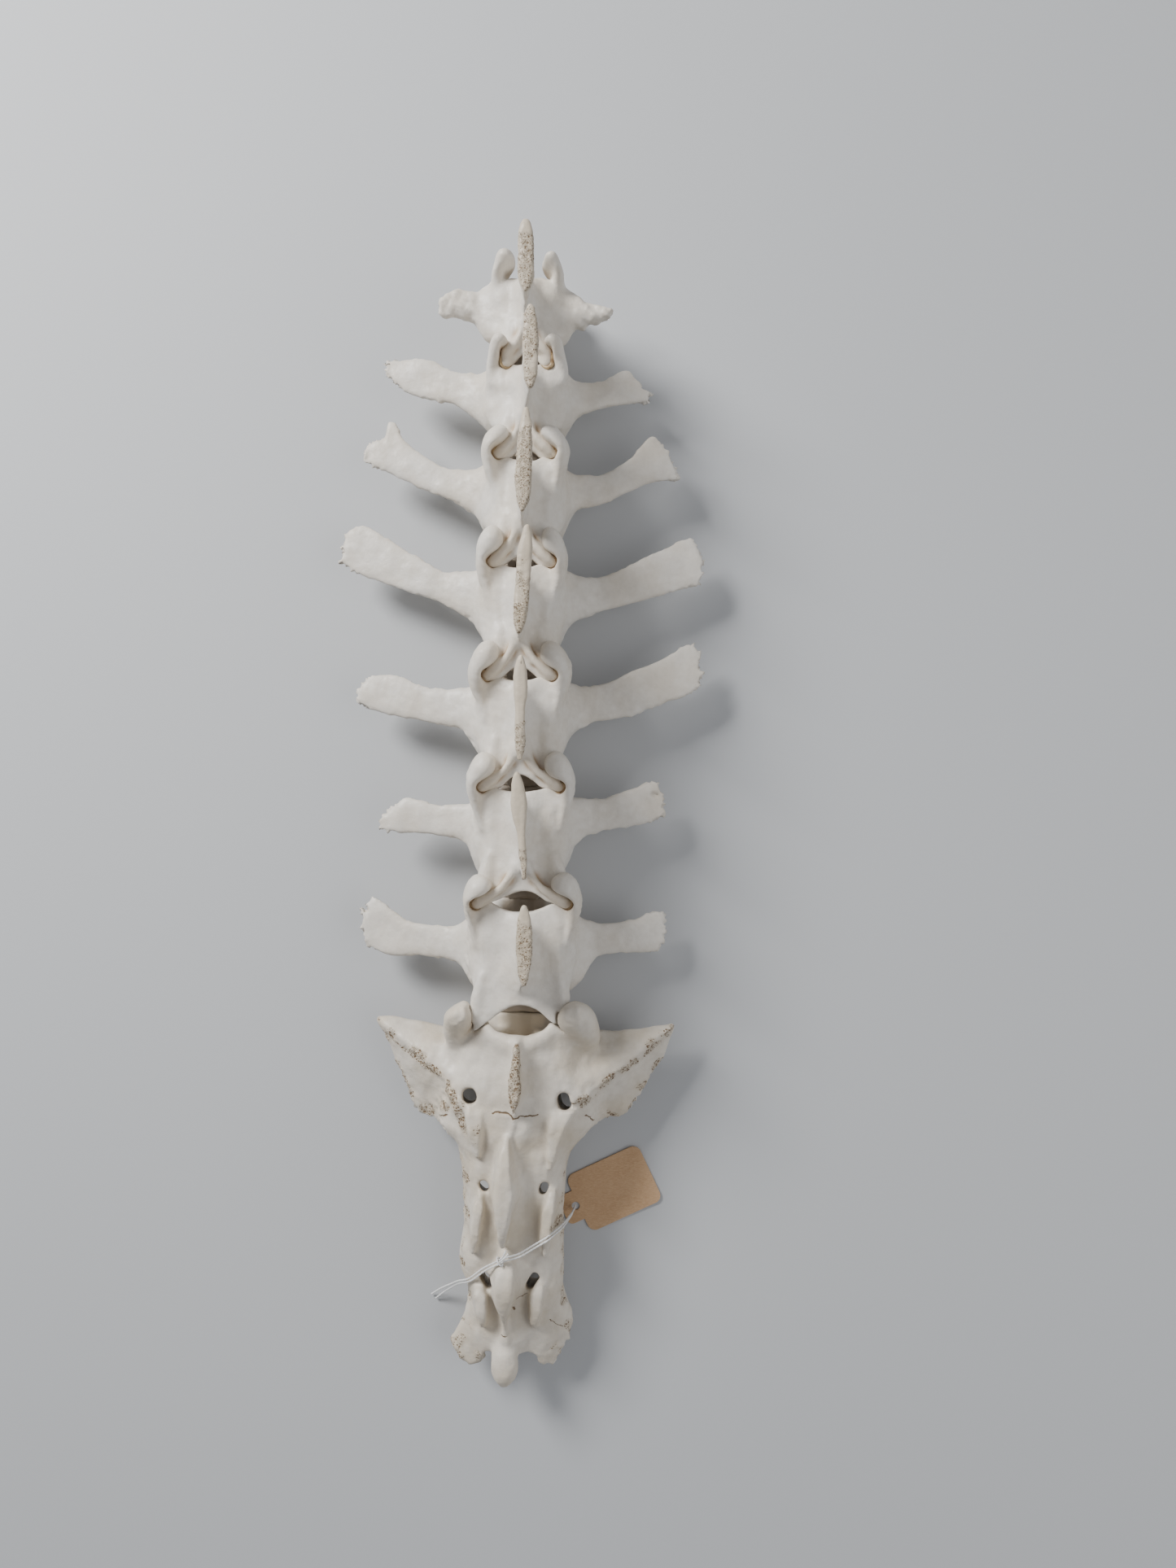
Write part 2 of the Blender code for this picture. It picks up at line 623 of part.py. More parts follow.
def bone(name, skins, triangles, parts, material, cutters=()):
    """One bone: the skins fused on a grid, opened by the cutters, smoothed, thinned and cut flat."""
    thing = bpy.data.objects.new(name, mesh_of(name, skins))
    parts.objects.link(thing)
    fuse_on_grid(thing, "fuse", GRID)
    for cutter in cutters:
        cut = thing.modifiers.new("open", "BOOLEAN")
        cut.operation = "DIFFERENCE"
        cut.object = cutter
    if cutters:
        fuse_on_grid(thing, "even out", CUT_GRID)
    soften = thing.modifiers.new("soften", "SMOOTH")
    soften.factor = 0.5
    soften.iterations = SMOOTHING
    fused = evaluated(thing)
    thing.modifiers.clear()
    thing.data = fused
    fused.calc_loop_triangles()
    thin = thing.modifiers.new("thin", "DECIMATE")
    thin.ratio = triangles / len(fused.loop_triangles)
    thinned = evaluated(thing)
    thing.modifiers.clear()
    shape = bmesh.new()
    shape.from_mesh(thinned)
    largest_surface(shape)
    cut_flat_at_floor(shape)
    final = bpy.data.meshes.new(name)
    shape.to_mesh(final)
    shape.free()
    final.materials.append(material)
    final.shade_smooth()
    final.set_sharp_from_angle(angle=math.radians(50))
    thing.data = final
    return thing


def cutter_of(name, skins, cutters):
    """A hidden solid that opens a hole."""
    thing = bpy.data.objects.new(name, mesh_of(name, skins))
    thing.hide_render = True
    thing.display_type = "WIRE"
    cutters.objects.link(thing)
    return thing


def sacral_cutters(cutters):
    """The canal along the sacrum and its three pairs of openings, which widen and slant downwards."""
    canal = [(0.2, -60, 25.5), (-0.6, -80, 25), (-1.8, -105, 24), (-3.0, -135, 22), (-4.2, -165, 17.5), (-4.8, -195, 13)]
    radii = (6.5, 6.2, 4.8, 3.8, 3.0, 2.6)
    openings = (
        ((-17.2, -90.4, 34), (-19.5, -96.6, 0), 2.4, 3.6),
        ((14.7, -92.1, 34), (17.2, -98.6, 0), 2.4, 3.6),
        ((-12.2, -119.9, 34), (-14.2, -129.9, 0), 1.5, 2.8),
        ((7.6, -120.9, 34), (8.4, -130.9, 0), 1.6, 2.8),
        ((-12.0, -154.8, 30), (-13.0, -161.8, 0), 2.0, 2.4),
        ((3.4, -155.2, 30), (4.2, -162.3, 0), 2.0, 2.4),
    )
    made = [cutter_of("canal", [tube(canal, radii, 12)], cutters)]
    for number, (top, bottom, narrow, wide) in enumerate(openings):
        made.append(cutter_of(f"opening_{number}", [tube((top, bottom), (narrow, wide), 10)], cutters))
    return made


def tag(parts, material):
    """The bare card tag: a rounded rectangle with a narrower neck, punched for its string."""
    half, neck = TAG_WIDTH / 2, TAG_NECK / 2
    shoulder = -TAG_LENGTH + TAG_NECK_LENGTH

    def corner(x, y, radius, start):
        turn = np.radians(np.linspace(start, start + 90, 5))
        return np.column_stack([x + radius * np.cos(turn), y + radius * np.sin(turn)])

    neck_corner = 2.0
    outline = np.vstack([
        corner(-TAG_CORNER, half - TAG_CORNER, TAG_CORNER, 0),
        corner(shoulder + TAG_CORNER, half - TAG_CORNER, TAG_CORNER, 90),
        [(shoulder, neck)],
        corner(-TAG_LENGTH + neck_corner, neck - neck_corner, neck_corner, 90),
        corner(-TAG_LENGTH + neck_corner, -neck + neck_corner, neck_corner, 180),
        [(shoulder, -neck)],
        corner(shoulder + TAG_CORNER, -half + TAG_CORNER, TAG_CORNER, 180),
        corner(-TAG_CORNER, -half + TAG_CORNER, TAG_CORNER, 270),
    ])
    turn = np.linspace(0, 2 * math.pi, 12, endpoint=False)
    hole = np.column_stack([TAG_HOLE_INSET - TAG_LENGTH + TAG_HOLE * np.cos(turn), TAG_HOLE * np.sin(turn)])
    card = bpy.data.curves.new("tag_outline", "CURVE")
    card.dimensions = "2D"
    card.fill_mode = "BOTH"
    card.extrude = TAG_THICKNESS / 2 * MM
    for loop in (outline, hole):
        spline = card.splines.new("POLY")
        spline.points.add(len(loop) - 1)
        spline.points.foreach_set("co", np.column_stack([loop * MM, np.zeros(len(loop)), np.ones(len(loop))]).ravel())
        spline.use_cyclic_u = True
    card.materials.append(material)
    thing = bpy.data.objects.new("tag", card)
    thing.location = Vector((*TAG_END, TAG_THICKNESS / 2)) * MM
    thing.rotation_euler.z = TAG_ANGLE
    parts.objects.link(thing)


def string_path(route, side):
    """One strand: a smooth curve through the route, half the spacing to one side of it."""
    route = np.array(route, float)
    lengths = np.linalg.norm(np.diff(route, axis=0), axis=1)
    stations = np.column_stack([np.concatenate([[0], np.cumsum(lengths)]), route])
    rows = through(stations, round(lengths.sum() / STRING_STEP) + 1)
    path = rows[:, 1:]
    along = np.gradient(path, axis=0)
    across = np.column_stack([-along[:, 1], along[:, 0], np.zeros(len(path))])
    across /= np.linalg.norm(across, axis=1)[:, None]
    share = rows[:, 0] / rows[-1, 0]
    spacing = STRAND_SPACING + (STRAND_END_SPACING - STRAND_SPACING) * np.clip((share - 0.75) / 0.25, 0, 1)
    return path + across * (side * spacing / 2)[:, None]


def thread(name, path, closed, parts, material):
    """A round thread along the path."""
    line = bpy.data.curves.new(name, "CURVE")
    line.dimensions = "3D"
    line.bevel_depth = STRING_RADIUS * MM
    line.bevel_resolution = 2
    line.use_fill_caps = not closed
    spline = line.splines.new("POLY")
    spline.points.add(len(path) - 1)
    spline.points.foreach_set("co", np.column_stack([path * MM, np.ones(len(path))]).ravel())
    spline.use_cyclic_u = closed
    line.materials.append(material)
    parts.objects.link(bpy.data.objects.new(name, line))


def knot_ring():
    """The ring of thread round both strands, square to the route."""
    before, here, after = np.array(STRING_ROUTE[KNOT_POINT - 1:KNOT_POINT + 2], float)
    along = (after - before) / np.linalg.norm(after - before)
    across = np.cross((0.0, 0.0, 1.0), along)
    across /= np.linalg.norm(across)
    up = np.cross(along, across)
    turn = np.linspace(0, 2 * math.pi, 12, endpoint=False)[:, None]
    return here + KNOT_HALVES[0] * np.cos(turn) * across + KNOT_HALVES[1] * np.sin(turn) * up


def main():
    clear_scene()
    parts = collection_of("sheep_spine")
    cutters = collection_of("cutters")
    bone_material = material_of("bone", BONE)
    for spec, front_joint, back_joint in zip(VERTEBRAE, JOINTS, JOINTS[1:]):
        bone(spec.name, vertebra_skins(spec, front_joint, back_joint), VERTEBRA_TRIANGLES, parts, bone_material)
    bone("sacrum", sacrum_skins(), SACRUM_TRIANGLES, parts, bone_material, sacral_cutters(cutters))
    tag(parts, material_of("card", CARD))
    cotton = material_of("cotton", COTTON)
    thread("string_left", string_path(STRING_ROUTE, -1), False, parts, cotton)
    thread("string_right", string_path(STRING_ROUTE, 1), False, parts, cotton)
    thread("string_knot", knot_ring(), True, parts, cotton)


main()
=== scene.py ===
"""The looks of a sheep's lower spine: eight glued bones lying on their belly side, with a card tag.

Everything is worked out in millimetres in the frame of the CAD model: z = 0 is the surface that the
spine lies on, +Y points to the head end and +X to the animal's right. It becomes metres when a mesh is
made. Each bone is a distance field on a grid, blended from skins that carry a profile along a path, so
its processes flow into one another as grown bone does.
"""

from __future__ import annotations

import json
import logging
import math
from collections.abc import Callable, Sequence
from dataclasses import dataclass
from enum import Enum, IntEnum

import bmesh
import bpy
import numpy as np
import openvdb
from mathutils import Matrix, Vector

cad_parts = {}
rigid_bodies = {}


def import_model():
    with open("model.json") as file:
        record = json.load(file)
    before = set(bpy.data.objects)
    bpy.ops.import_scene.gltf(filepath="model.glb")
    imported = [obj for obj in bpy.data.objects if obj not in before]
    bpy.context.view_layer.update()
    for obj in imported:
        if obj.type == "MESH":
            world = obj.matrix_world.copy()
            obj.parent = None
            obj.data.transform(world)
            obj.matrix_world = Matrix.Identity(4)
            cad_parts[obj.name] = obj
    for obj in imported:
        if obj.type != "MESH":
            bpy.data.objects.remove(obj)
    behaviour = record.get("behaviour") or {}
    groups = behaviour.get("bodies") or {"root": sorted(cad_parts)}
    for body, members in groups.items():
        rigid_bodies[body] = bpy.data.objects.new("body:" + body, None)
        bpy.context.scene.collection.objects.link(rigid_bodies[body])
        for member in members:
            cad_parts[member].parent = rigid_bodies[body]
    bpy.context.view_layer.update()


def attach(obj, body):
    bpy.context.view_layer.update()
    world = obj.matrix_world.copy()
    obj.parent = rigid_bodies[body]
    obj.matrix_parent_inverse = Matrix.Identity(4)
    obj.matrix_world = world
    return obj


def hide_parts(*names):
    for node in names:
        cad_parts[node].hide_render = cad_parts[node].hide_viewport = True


LOG = logging.getLogger("sheep_spine")
MM = 0.001
Array = np.ndarray
Station = tuple[float, ...]
Stations = tuple[Station, ...]


class Side(Enum):
    """The two sides of the animal, as the sign of x."""

    LEFT = -1
    RIGHT = 1


class Noise(IntEnum):
    """What is added to a bone's seed for each of its noises."""

    LONG = 0
    SHORT = 1
    SHORTEST = 2
    PATCHES = 3
    TEETH = 4
    CHIPS = 5
    SEAM = 9
    TIP = 40
    TIP_FINE = 50
    RIM = 60
    RIM_FINE = 61


# Shapes from numbers


def through(stations: Sequence[Station], count: int) -> Array:
    """Rows along a smooth curve through stations that are ordered by their first value.

    In words: a cubic between each two stations, with the mean of the neighbouring slopes at each
    station, flat at a turning point and never steep enough to overshoot.

    Args:
        stations: Rows of numbers; the first column is the place along the curve.
        count: How many evenly spaced rows to return.

    Returns:
        An array of count rows with the stations' columns.
    """
    rows = np.array(stations, float)
    steps = np.diff(rows, axis=0)
    rates = steps[:, 1:] / steps[:, :1]
    slopes = np.vstack([rates[:1], (rates[1:] + rates[:-1]) / 2, rates[-1:]])
    slopes[1:-1][rates[1:] * rates[:-1] <= 0] = 0
    least = np.minimum(abs(rates[1:]), abs(rates[:-1])) * 3
    slopes[1:-1] = np.clip(slopes[1:-1], -least, least)
    at = np.linspace(rows[0, 0], rows[-1, 0], count)
    order = np.sign(rows[-1, 0] - rows[0, 0])
    span = np.clip(np.searchsorted(order * rows[:, 0], order * at, side="right") - 1, 0, len(rows) - 2)
    width = steps[span, :1]
    t = ((at - rows[span, 0]) / steps[span, 0])[:, None]
    low, high = rows[span, 1:], rows[span + 1, 1:]
    values = (
        (1 + 2 * t) * (1 - t) ** 2 * low
        + t * (1 - t) ** 2 * width * slopes[span]
        + t**2 * (3 - 2 * t) * high
        + t**2 * (t - 1) * width * slopes[span + 1]
    )
    return np.column_stack([at, values])


def ramp(value: Array, start: float, end: float) -> Array:
    """A share that eases from 0 at start to 1 at end: 3t^2 - 2t^3 of the clamped share t."""
    t = np.clip((value - start) / (end - start), 0, 1)
    return t * t * (3 - 2 * t)


def bell(value: Array, width: float) -> Array:
    """A bell curve: 1 at nought and e^-1 at the width."""
    return np.exp(-((value / width) ** 2))


def between(start: Array, end: Array, share: Array) -> Array:
    """What lies a share of the way from start to end."""
    return start + (end - start) * share


def unit(vectors: Array) -> Array:
    """Vectors in the same directions, one long."""
    return vectors / np.linalg.norm(vectors, axis=-1, keepdims=True)


def columns(stations: Sequence[Station], count: int) -> Array:
    """The columns that through gives, each shaped to spread over the points of its rings."""
    return through(stations, count).T[:, :, None]


def turns_round(count: int) -> Array:
    """Angles at even spaces round a circle, from half a space on."""
    return (np.arange(count) + 0.5) * 2 * math.pi / count


def unit_ring(count: int, power: float) -> Array:
    """x and y round a circle that is squarish for a power above 2, |x|^power + |y|^power = 1, each shaped
    to spread over rows of rings."""
    ring = np.stack([np.cos(turns_round(count)), np.sin(turns_round(count))])
    return (ring * (abs(ring) ** power).sum(axis=0) ** (-1 / power))[:, None]


class Waves:
    """Soft seeded noise: the sum of plane waves in random directions, scaled to a spread of about 1."""

    def __init__(self, seed: int, length: float, count: int = 26) -> None:
        """Draws the waves.

        Args:
            seed: Seed of the random directions and phases.
            length: Middle wavelength in millimetres; single waves are 0.6 to 1.6 times it.
            count: How many waves are added up.
        """
        draw = np.random.default_rng(seed)
        way = unit(draw.normal(size=(count, 3)))
        self.waves = way * (2 * math.pi / (length * draw.uniform(0.6, 1.6, count)))[:, None]
        self.phases = draw.uniform(0, 2 * math.pi, count)

    def at(self, points: Array) -> Array:
        """The noise at points whose last axis is x, y, z.

        Args:
            points: The points.

        Returns:
            One value for each point.
        """
        flat = points.reshape(-1, 3).astype(np.float32)
        total = np.zeros(len(flat), np.float32)
        for wave, phase in zip(self.waves.astype(np.float32), self.phases):
            total += np.cos(flat @ wave + np.float32(phase))
        return (total / math.sqrt(len(self.phases) / 2)).reshape(points.shape[:-1])


@dataclass
class Skin:
    """A closed surface: points in millimetres and four-cornered faces."""

    points: Array
    quads: Array


def loft(rings: Array) -> Skin:
    """A closed skin over a grid of points: rows of rings, with both ends closed by strips.

    Args:
        rings: Array of (rows, points in a ring, 3). Point i faces point count - 1 - i in a strip.

    Returns:
        The skin.
    """
    rows, count = rings.shape[:2]
    index = np.arange(rows * count).reshape(rows, count)
    beside = np.roll(index, -1, axis=1)
    sides = np.stack([index[:-1], beside[:-1], beside[1:], index[1:]], axis=-1).reshape(-1, 4)
    i = np.arange(count // 2 - 1)
    strip = np.stack([i, i + 1, count - 2 - i, count - 1 - i], axis=-1)
    return Skin(rings.reshape(-1, 3), np.vstack([sides, strip[:, ::-1], strip + (rows - 1) * count]))


def joined(skins: Sequence[Skin]) -> Skin:
    """Several skins as one."""
    starts = np.cumsum([0] + [len(skin.points) for skin in skins])
    return Skin(np.vstack([skin.points for skin in skins]),
                np.vstack([skin.quads + start for skin, start in zip(skins, starts)]))


def sections(x: Array, y: Array, z: Array) -> Skin:
    """A closed skin over rings at these places, each given by row, by point of a ring or by both."""
    return loft(np.stack(np.broadcast_arrays(x, y, z), axis=-1))


def out_and_back(upper: Array, lower: Array) -> Array:
    """Rings that run along their upper line and return along their lower one."""
    return np.concatenate([upper, lower[:, ::-1]], axis=1)


def rings_round(line: Array, along: Array, guide: Array, radius: Array, count: int) -> Array:
    """Round sections on a line.

    In words: centre + radius * (cos(turn) * side + sin(turn) * up), where side is square to the line and
    to a guide, and up is square to both.

    Args:
        line: The middles of the sections.
        along: The line's directions, one long.
        guide: One vector, or one for each section.
        radius: Array of (sections, 1), or of (sections, points in a ring).
        count: Points in a ring.

    Returns:
        Array of (sections, points in a ring, 3).
    """
    side = unit(np.cross(along, guide))
    up = np.cross(side, along)
    turn = turns_round(count)[:, None]
    return line[:, None] + radius[..., None] * (np.cos(turn) * side[:, None] + np.sin(turn) * up[:, None])


def tube(path: Sequence[Station], radii: Sequence[float], count: int = 20) -> Skin:
    """A round skin along a path, with three rings of shrinking radius that round each end.

    In words: the rings' guide is +z, or +x where the path is steep.

    Args:
        path: Points that the tube follows.
        radii: Its radius at each of them.
        count: Points in a ring.

    Returns:
        The skin.
    """
    line, size = np.array(path, float), np.array(radii, float)
    first, last = unit(line[[0, -1]] - line[[1, -2]])
    dome = np.radians([80.0, 55.0, 28.0])
    head = line[0] + first * (size[0] * np.sin(dome))[:, None]
    tail = line[-1] + last * (size[-1] * np.sin(dome[::-1]))[:, None]
    line = np.vstack([head, line, tail])
    size = np.concatenate([size[0] * np.cos(dome), size, size[-1] * np.cos(dome[::-1])])
    along = unit(np.gradient(line, axis=0))
    steep = abs(along[:, 2:]) > 0.9
    guide = np.where(steep, (1.0, 0.0, 0.0), (0.0, 0.0, 1.0))
    return loft(rings_round(line, along, guide, size[:, None], count))


def ridge(tops: Sequence[Station], depth: float) -> Skin:
    """A raised line of bone that widens to its root.

    In words: across a line of (x, y, height, half width), the section falls from its height to depth
    below it while it widens to 1.6 times the half width.

    Args:
        tops: Points of (x, y, height, half width) along the ridge.
        depth: How far its root lies below its top.

    Returns:
        The skin.
    """
    tailwards = sorted(((y, x, z, half) for x, y, z, half in tops), reverse=True)
    y, x, z, half = columns(tailwards, 8 * len(tops))
    across = np.array((-1.6, -1.3, -1.12, -1.0, -0.72, 0.72, 1.0, 1.12, 1.3, 1.6))
    fall = np.array((1.0, 0.6, 0.34, 0.14, 0.0, 0.0, 0.14, 0.34, 0.6, 1.0))
    return sections(x + half * across, y, z - depth * fall)


# Bone as a distance field


Window = tuple[slice, slice, slice]


class BoneField:
    """A distance field on a grid in millimetres, negative inside the bone.

    REACH is how far from a surface it is kept, MARGIN how many grid points lie beyond the bone's corners,
    and SEAT the height up to which the bone's underside is cut level.
    """

    REACH = 7.0
    MARGIN = 4
    SEAT = 3.0

    def __init__(self, low: Sequence[float], high: Sequence[float], step: float) -> None:
        """Makes an empty field.

        Args:
            low: Lowest corner that the bone may reach.
            high: Highest corner.
            step: Spacing of the grid.
        """
        self.step = step
        self.first = np.floor(np.array(low) / step).astype(int) - self.MARGIN
        size = np.ceil(np.array(high) / step).astype(int) + self.MARGIN + 1 - self.first
        self.values = np.full(size, self.REACH, np.float32)

    def window(self, low: Array, high: Array) -> Window:
        """The part of the grid between two corners, as slices.

        Args:
            low: Lowest corner.
            high: Highest corner.

        Returns:
            One slice for each axis.
        """
        start = np.clip(np.floor(low / self.step).astype(int) - self.first, 0, self.values.shape)
        stop = np.clip(np.ceil(high / self.step).astype(int) + 1 - self.first, 0, self.values.shape)
        return tuple(slice(a, b) for a, b in zip(start, stop))

    def places(self, window: Window) -> Array:
        """The x, y, z of each grid point in a window, as an array of (..., 3).

        Args:
            window: The part of the grid.

        Returns:
            Their places in millimetres.
        """
        lines = [(np.arange(part.start, part.stop) + first) * self.step
                 for part, first in zip(window, self.first)]
        return np.stack(np.meshgrid(*lines, indexing="ij"), axis=-1).astype(np.float32)

    def distances(self, skin: Skin) -> tuple[Window, Array]:
        """The distance to a skin in the window round it, cut off at REACH.

        Args:
            skin: The skin.

        Returns:
            The window and its distances, negative inside the skin.
        """
        window = self.window(skin.points.min(axis=0) - self.REACH, skin.points.max(axis=0) + self.REACH)
        grid = openvdb.FloatGrid.createLevelSetFromPolygons(
            skin.points.astype(np.float32), quads=skin.quads.astype(np.uint32),
            transform=openvdb.createLinearTransform(self.step), halfWidth=self.REACH / self.step)
        near = np.empty([part.stop - part.start for part in window], np.float32)
        grid.copyToArray(near, ijk=tuple(int(part.start + first) for part, first in zip(window, self.first)))
        return window, np.clip(near, -self.REACH, self.REACH)

    def add(self, skin: Skin, fillet: float) -> None:
        """Joins a skin to the bone with a fillet.

        In words: the lesser of the two distances, less a quarter of the fillet times the square of how
        nearly equal they are, which fades out away from the surface.

        Args:
            skin: The skin to join.
            fillet: Distance over which the two flow together.
        """
        window, new = self.distances(skin)
        old = self.values[window]
        nearer = np.minimum(old, new)
        meeting = np.clip(1 - np.abs(old - new) / fillet, 0, 1) ** 2
        self.values[window] = nearer - meeting * np.clip(2 - 3 * nearer / fillet, 0, 1) * (fillet / 4)

    def carve(self, skin: Skin, edge: float = 0.8, gap: float = 0.0) -> None:
        """Takes a skin's inside out of the bone, with rounded edges.

        Args:
            skin: What is taken away.
            edge: Width of the rounding along the rim.
            gap: How much wider than the skin the cut is.
        """
        window, new = self.distances(skin)
        new = new - gap
        old = self.values[window]
        farther = np.maximum(old, -new)
        meeting = np.clip(1 - np.abs(old + new) / edge, 0, 1) ** 2
        self.values[window] = farther + meeting * np.clip(2 + 3 * farther / edge, 0, 1) * (edge / 4)

    def keep(self, low: Sequence[float], high: Sequence[float], level: Callable[[Array], Array]) -> None:
        """Keeps only what lies where level is negative, between two corners.

        Args:
            low: Lowest corner of the part of the grid that is changed.
            high: Highest corner.
            level: Gives a distance for points of (..., 3), negative where bone stays.
        """
        window = self.window(np.array(low, float), np.array(high, float))
        self.values[window] = np.maximum(self.values[window], level(self.places(window)))

    def cut_level(self) -> None:
        """Takes away what reaches below the floor, z = 0."""
        low, high = self.first * self.step, (self.first + self.values.shape) * self.step
        self.keep(low, (*high[:2], self.SEAT), lambda places: -places[..., 2])

    @staticmethod
    def blurred(values: Array, passes: int) -> Array:
        """Values spread by a weight of 1, 2, 1 along each axis in turn, as often as passes says.

        Args:
            values: Values on a grid.
            passes: How often they are spread.

        Returns:
            A new grid of values.
        """
        spread = values.copy()
        for _ in range(passes):
            for axis in range(3):
                line = np.moveaxis(spread, axis, 0)
                line[1:-1] = (line[:-2] + 2 * line[1:-1] + line[2:]) / 4
        return spread

    def surface(self) -> tuple[Array, Array, Array]:
        """The bone's surface.

        Returns:
            Points in millimetres, four-cornered faces that point outwards, and a hollowness from 0 to 1
            at each point, which is how far the surroundings within about 2 mm are bone.
        """
        grid = openvdb.FloatGrid(self.REACH)
        grid.copyFromArray(self.blurred(self.values, 1), ijk=tuple(int(v) for v in self.first))
        grid.transform = openvdb.createLinearTransform(self.step)
        points, quads = grid.convertToQuads()
        points, quads = largest_part(points.astype(float), quads.astype(np.int64))
        wide = self.blurred(np.clip(self.values[::2, ::2, ::2], -3, 3), 5)
        return points, facing_out(points, quads), np.clip(0.5 - self.sampled(wide, points, 2) / 1.6, 0, 1)

    def sampled(self, values: Array, points: Array, stride: int) -> Array:
        """Values of a grid with every stride-th point, at points, straight between its neighbours.

        Args:
            values: Values at every stride-th point of the grid.
            points: Where they are wanted, in millimetres.
            stride: Their spacing.

        Returns:
            One value for each point.
        """
        at = np.clip((points / self.step - self.first) / stride, 0, np.array(values.shape) - 1.001)
        low = at.astype(int)
        share = at - low
        total = np.zeros(len(points))
        for corner in range(8):
            shift = np.array([corner & 1, corner >> 1 & 1, corner >> 2])
            weight = np.where(shift, share, 1 - share).prod(axis=1)
            total += weight * values[tuple((low + shift).T)]
        return total


def largest_part(points: Array, quads: Array) -> tuple[Array, Array]:
    """The biggest connected part of a surface, without the crumbs that a break can leave.

    In words: every point takes the lowest number found in its faces, and then that number's own, until
    nothing changes; points that share the commonest number stay.

    Args:
        points: Points of the surface.
        quads: Its faces.

    Returns:
        That part's points and faces.
    """
    label = np.arange(len(points))
    while True:
        spread = label.copy()
        np.minimum.at(spread, quads.ravel(), np.repeat(label[quads].min(axis=1), 4))
        spread = spread[spread]
        if (spread == label).all():
            break
        label = spread
    kept = label == np.bincount(label).argmax()
    return points[kept], (np.cumsum(kept) - 1)[quads[kept[quads[:, 0]]]]


def facing_out(points: Array, quads: Array) -> Array:
    """Quads, turned round if the volume that they enclose is negative."""
    a, b, c, d = ((points - points.mean(axis=0))[quads[:, i]] for i in range(4))
    return quads if np.einsum("ij,ij", a, np.cross(b, c) + np.cross(c, d)) > 0 else quads[:, ::-1]


def normals_of(points: Array, quads: Array) -> Array:
    """The outward direction at each point: the mean of its faces' directions by area.

    Args:
        points: Points of a surface.
        quads: Its faces.

    Returns:
        One direction for each point.
    """
    ways = np.cross(points[quads[:, 2]] - points[quads[:, 0]], points[quads[:, 3]] - points[quads[:, 1]])
    total = np.zeros_like(points)
    for corner in range(4):
        for axis in range(3):
            total[:, axis] += np.bincount(quads[:, corner], ways[:, axis], len(points))
    return total / (np.linalg.norm(total, axis=1)[:, None] + 1e-12)


def make_piece(name: str, points: Array, quads: Array, marks: dict[str, Array],
               material: bpy.types.Material) -> bpy.types.Object:
    """A mesh object in metres at the origin.

    Args:
        name: Name of the object and its mesh.
        points: Points in millimetres.
        quads: Four-cornered faces.
        marks: Values from 0 to 1 at each point, kept as attributes for the material.
        material: The finish.

    Returns:
        The object, linked to the scene.
    """
    mesh = bpy.data.meshes.new(name)
    mesh.vertices.add(len(points))
    mesh.vertices.foreach_set("co", (points * MM).astype(np.float32).ravel())
    mesh.loops.add(quads.size)
    mesh.loops.foreach_set("vertex_index", quads.astype(np.int32).ravel())
    mesh.polygons.add(len(quads))
    mesh.polygons.foreach_set("loop_start", np.arange(0, quads.size, 4, dtype=np.int32))
    mesh.update(calc_edges=True)
    mesh.validate()
    for mark, values in marks.items():
        mesh.attributes.new(mark, "FLOAT", "POINT").data.foreach_set("value", values.astype(np.float32))
    mesh.materials.append(material)
    mesh.shade_smooth()
    piece = bpy.data.objects.new(name, mesh)
    bpy.context.scene.collection.objects.link(piece)
    LOG.info("%s: %d points, %d faces", name, len(points), len(quads))
    return piece


def dress(piece: bpy.types.Object, node: str) -> bpy.types.Object:
    """Hides the CAD node that a piece stands for and lets the piece ride on the root body.

    Args:
        piece: The piece.
        node: The CAD node that it replaces.

    Returns:
        The same piece.
    """
    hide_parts(node)
    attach(piece, "root")
    return piece


def weld(mesh: bpy.types.Mesh) -> None:
    """Merges the points that lie together and turns all faces outwards.

    Args:
        mesh: The mesh, which is changed.
    """
    work = bmesh.new()
    work.from_mesh(mesh)
    bmesh.ops.remove_doubles(work, verts=work.verts, dist=0.000001)
    bmesh.ops.recalc_face_normals(work, faces=work.faces)
    work.to_mesh(mesh)
    work.free()


# The bones


@dataclass(frozen=True)
class BoneSizes:
    """Sizes that all the vertebrae share, as in the CAD model."""

    gap: float = 0.3
    body_half_width: float = 14.0
    body_waist: float = 0.24
    body_hollow: float = 4.2
    body_top: float = 20.0
    seat: float = 0.5
    keel: float = 3.0
    keel_width: float = 2.6
    arch_underside: float = 30.5
    arch_top: float = 35.0
    rod_height: float = 31.4
    rod_reach: float = 1.6
    rod_root: float = 12.0
    rod_splay: float = 2.6
    clearance: float = 0.35


SIZES = BoneSizes()
# Radii of the ridge from the foot of a crest to a rod's free end.
SPUR_RADII = (0.6, 0.7, 0.85, 1.05, 1.35, 1.65, 1.75)


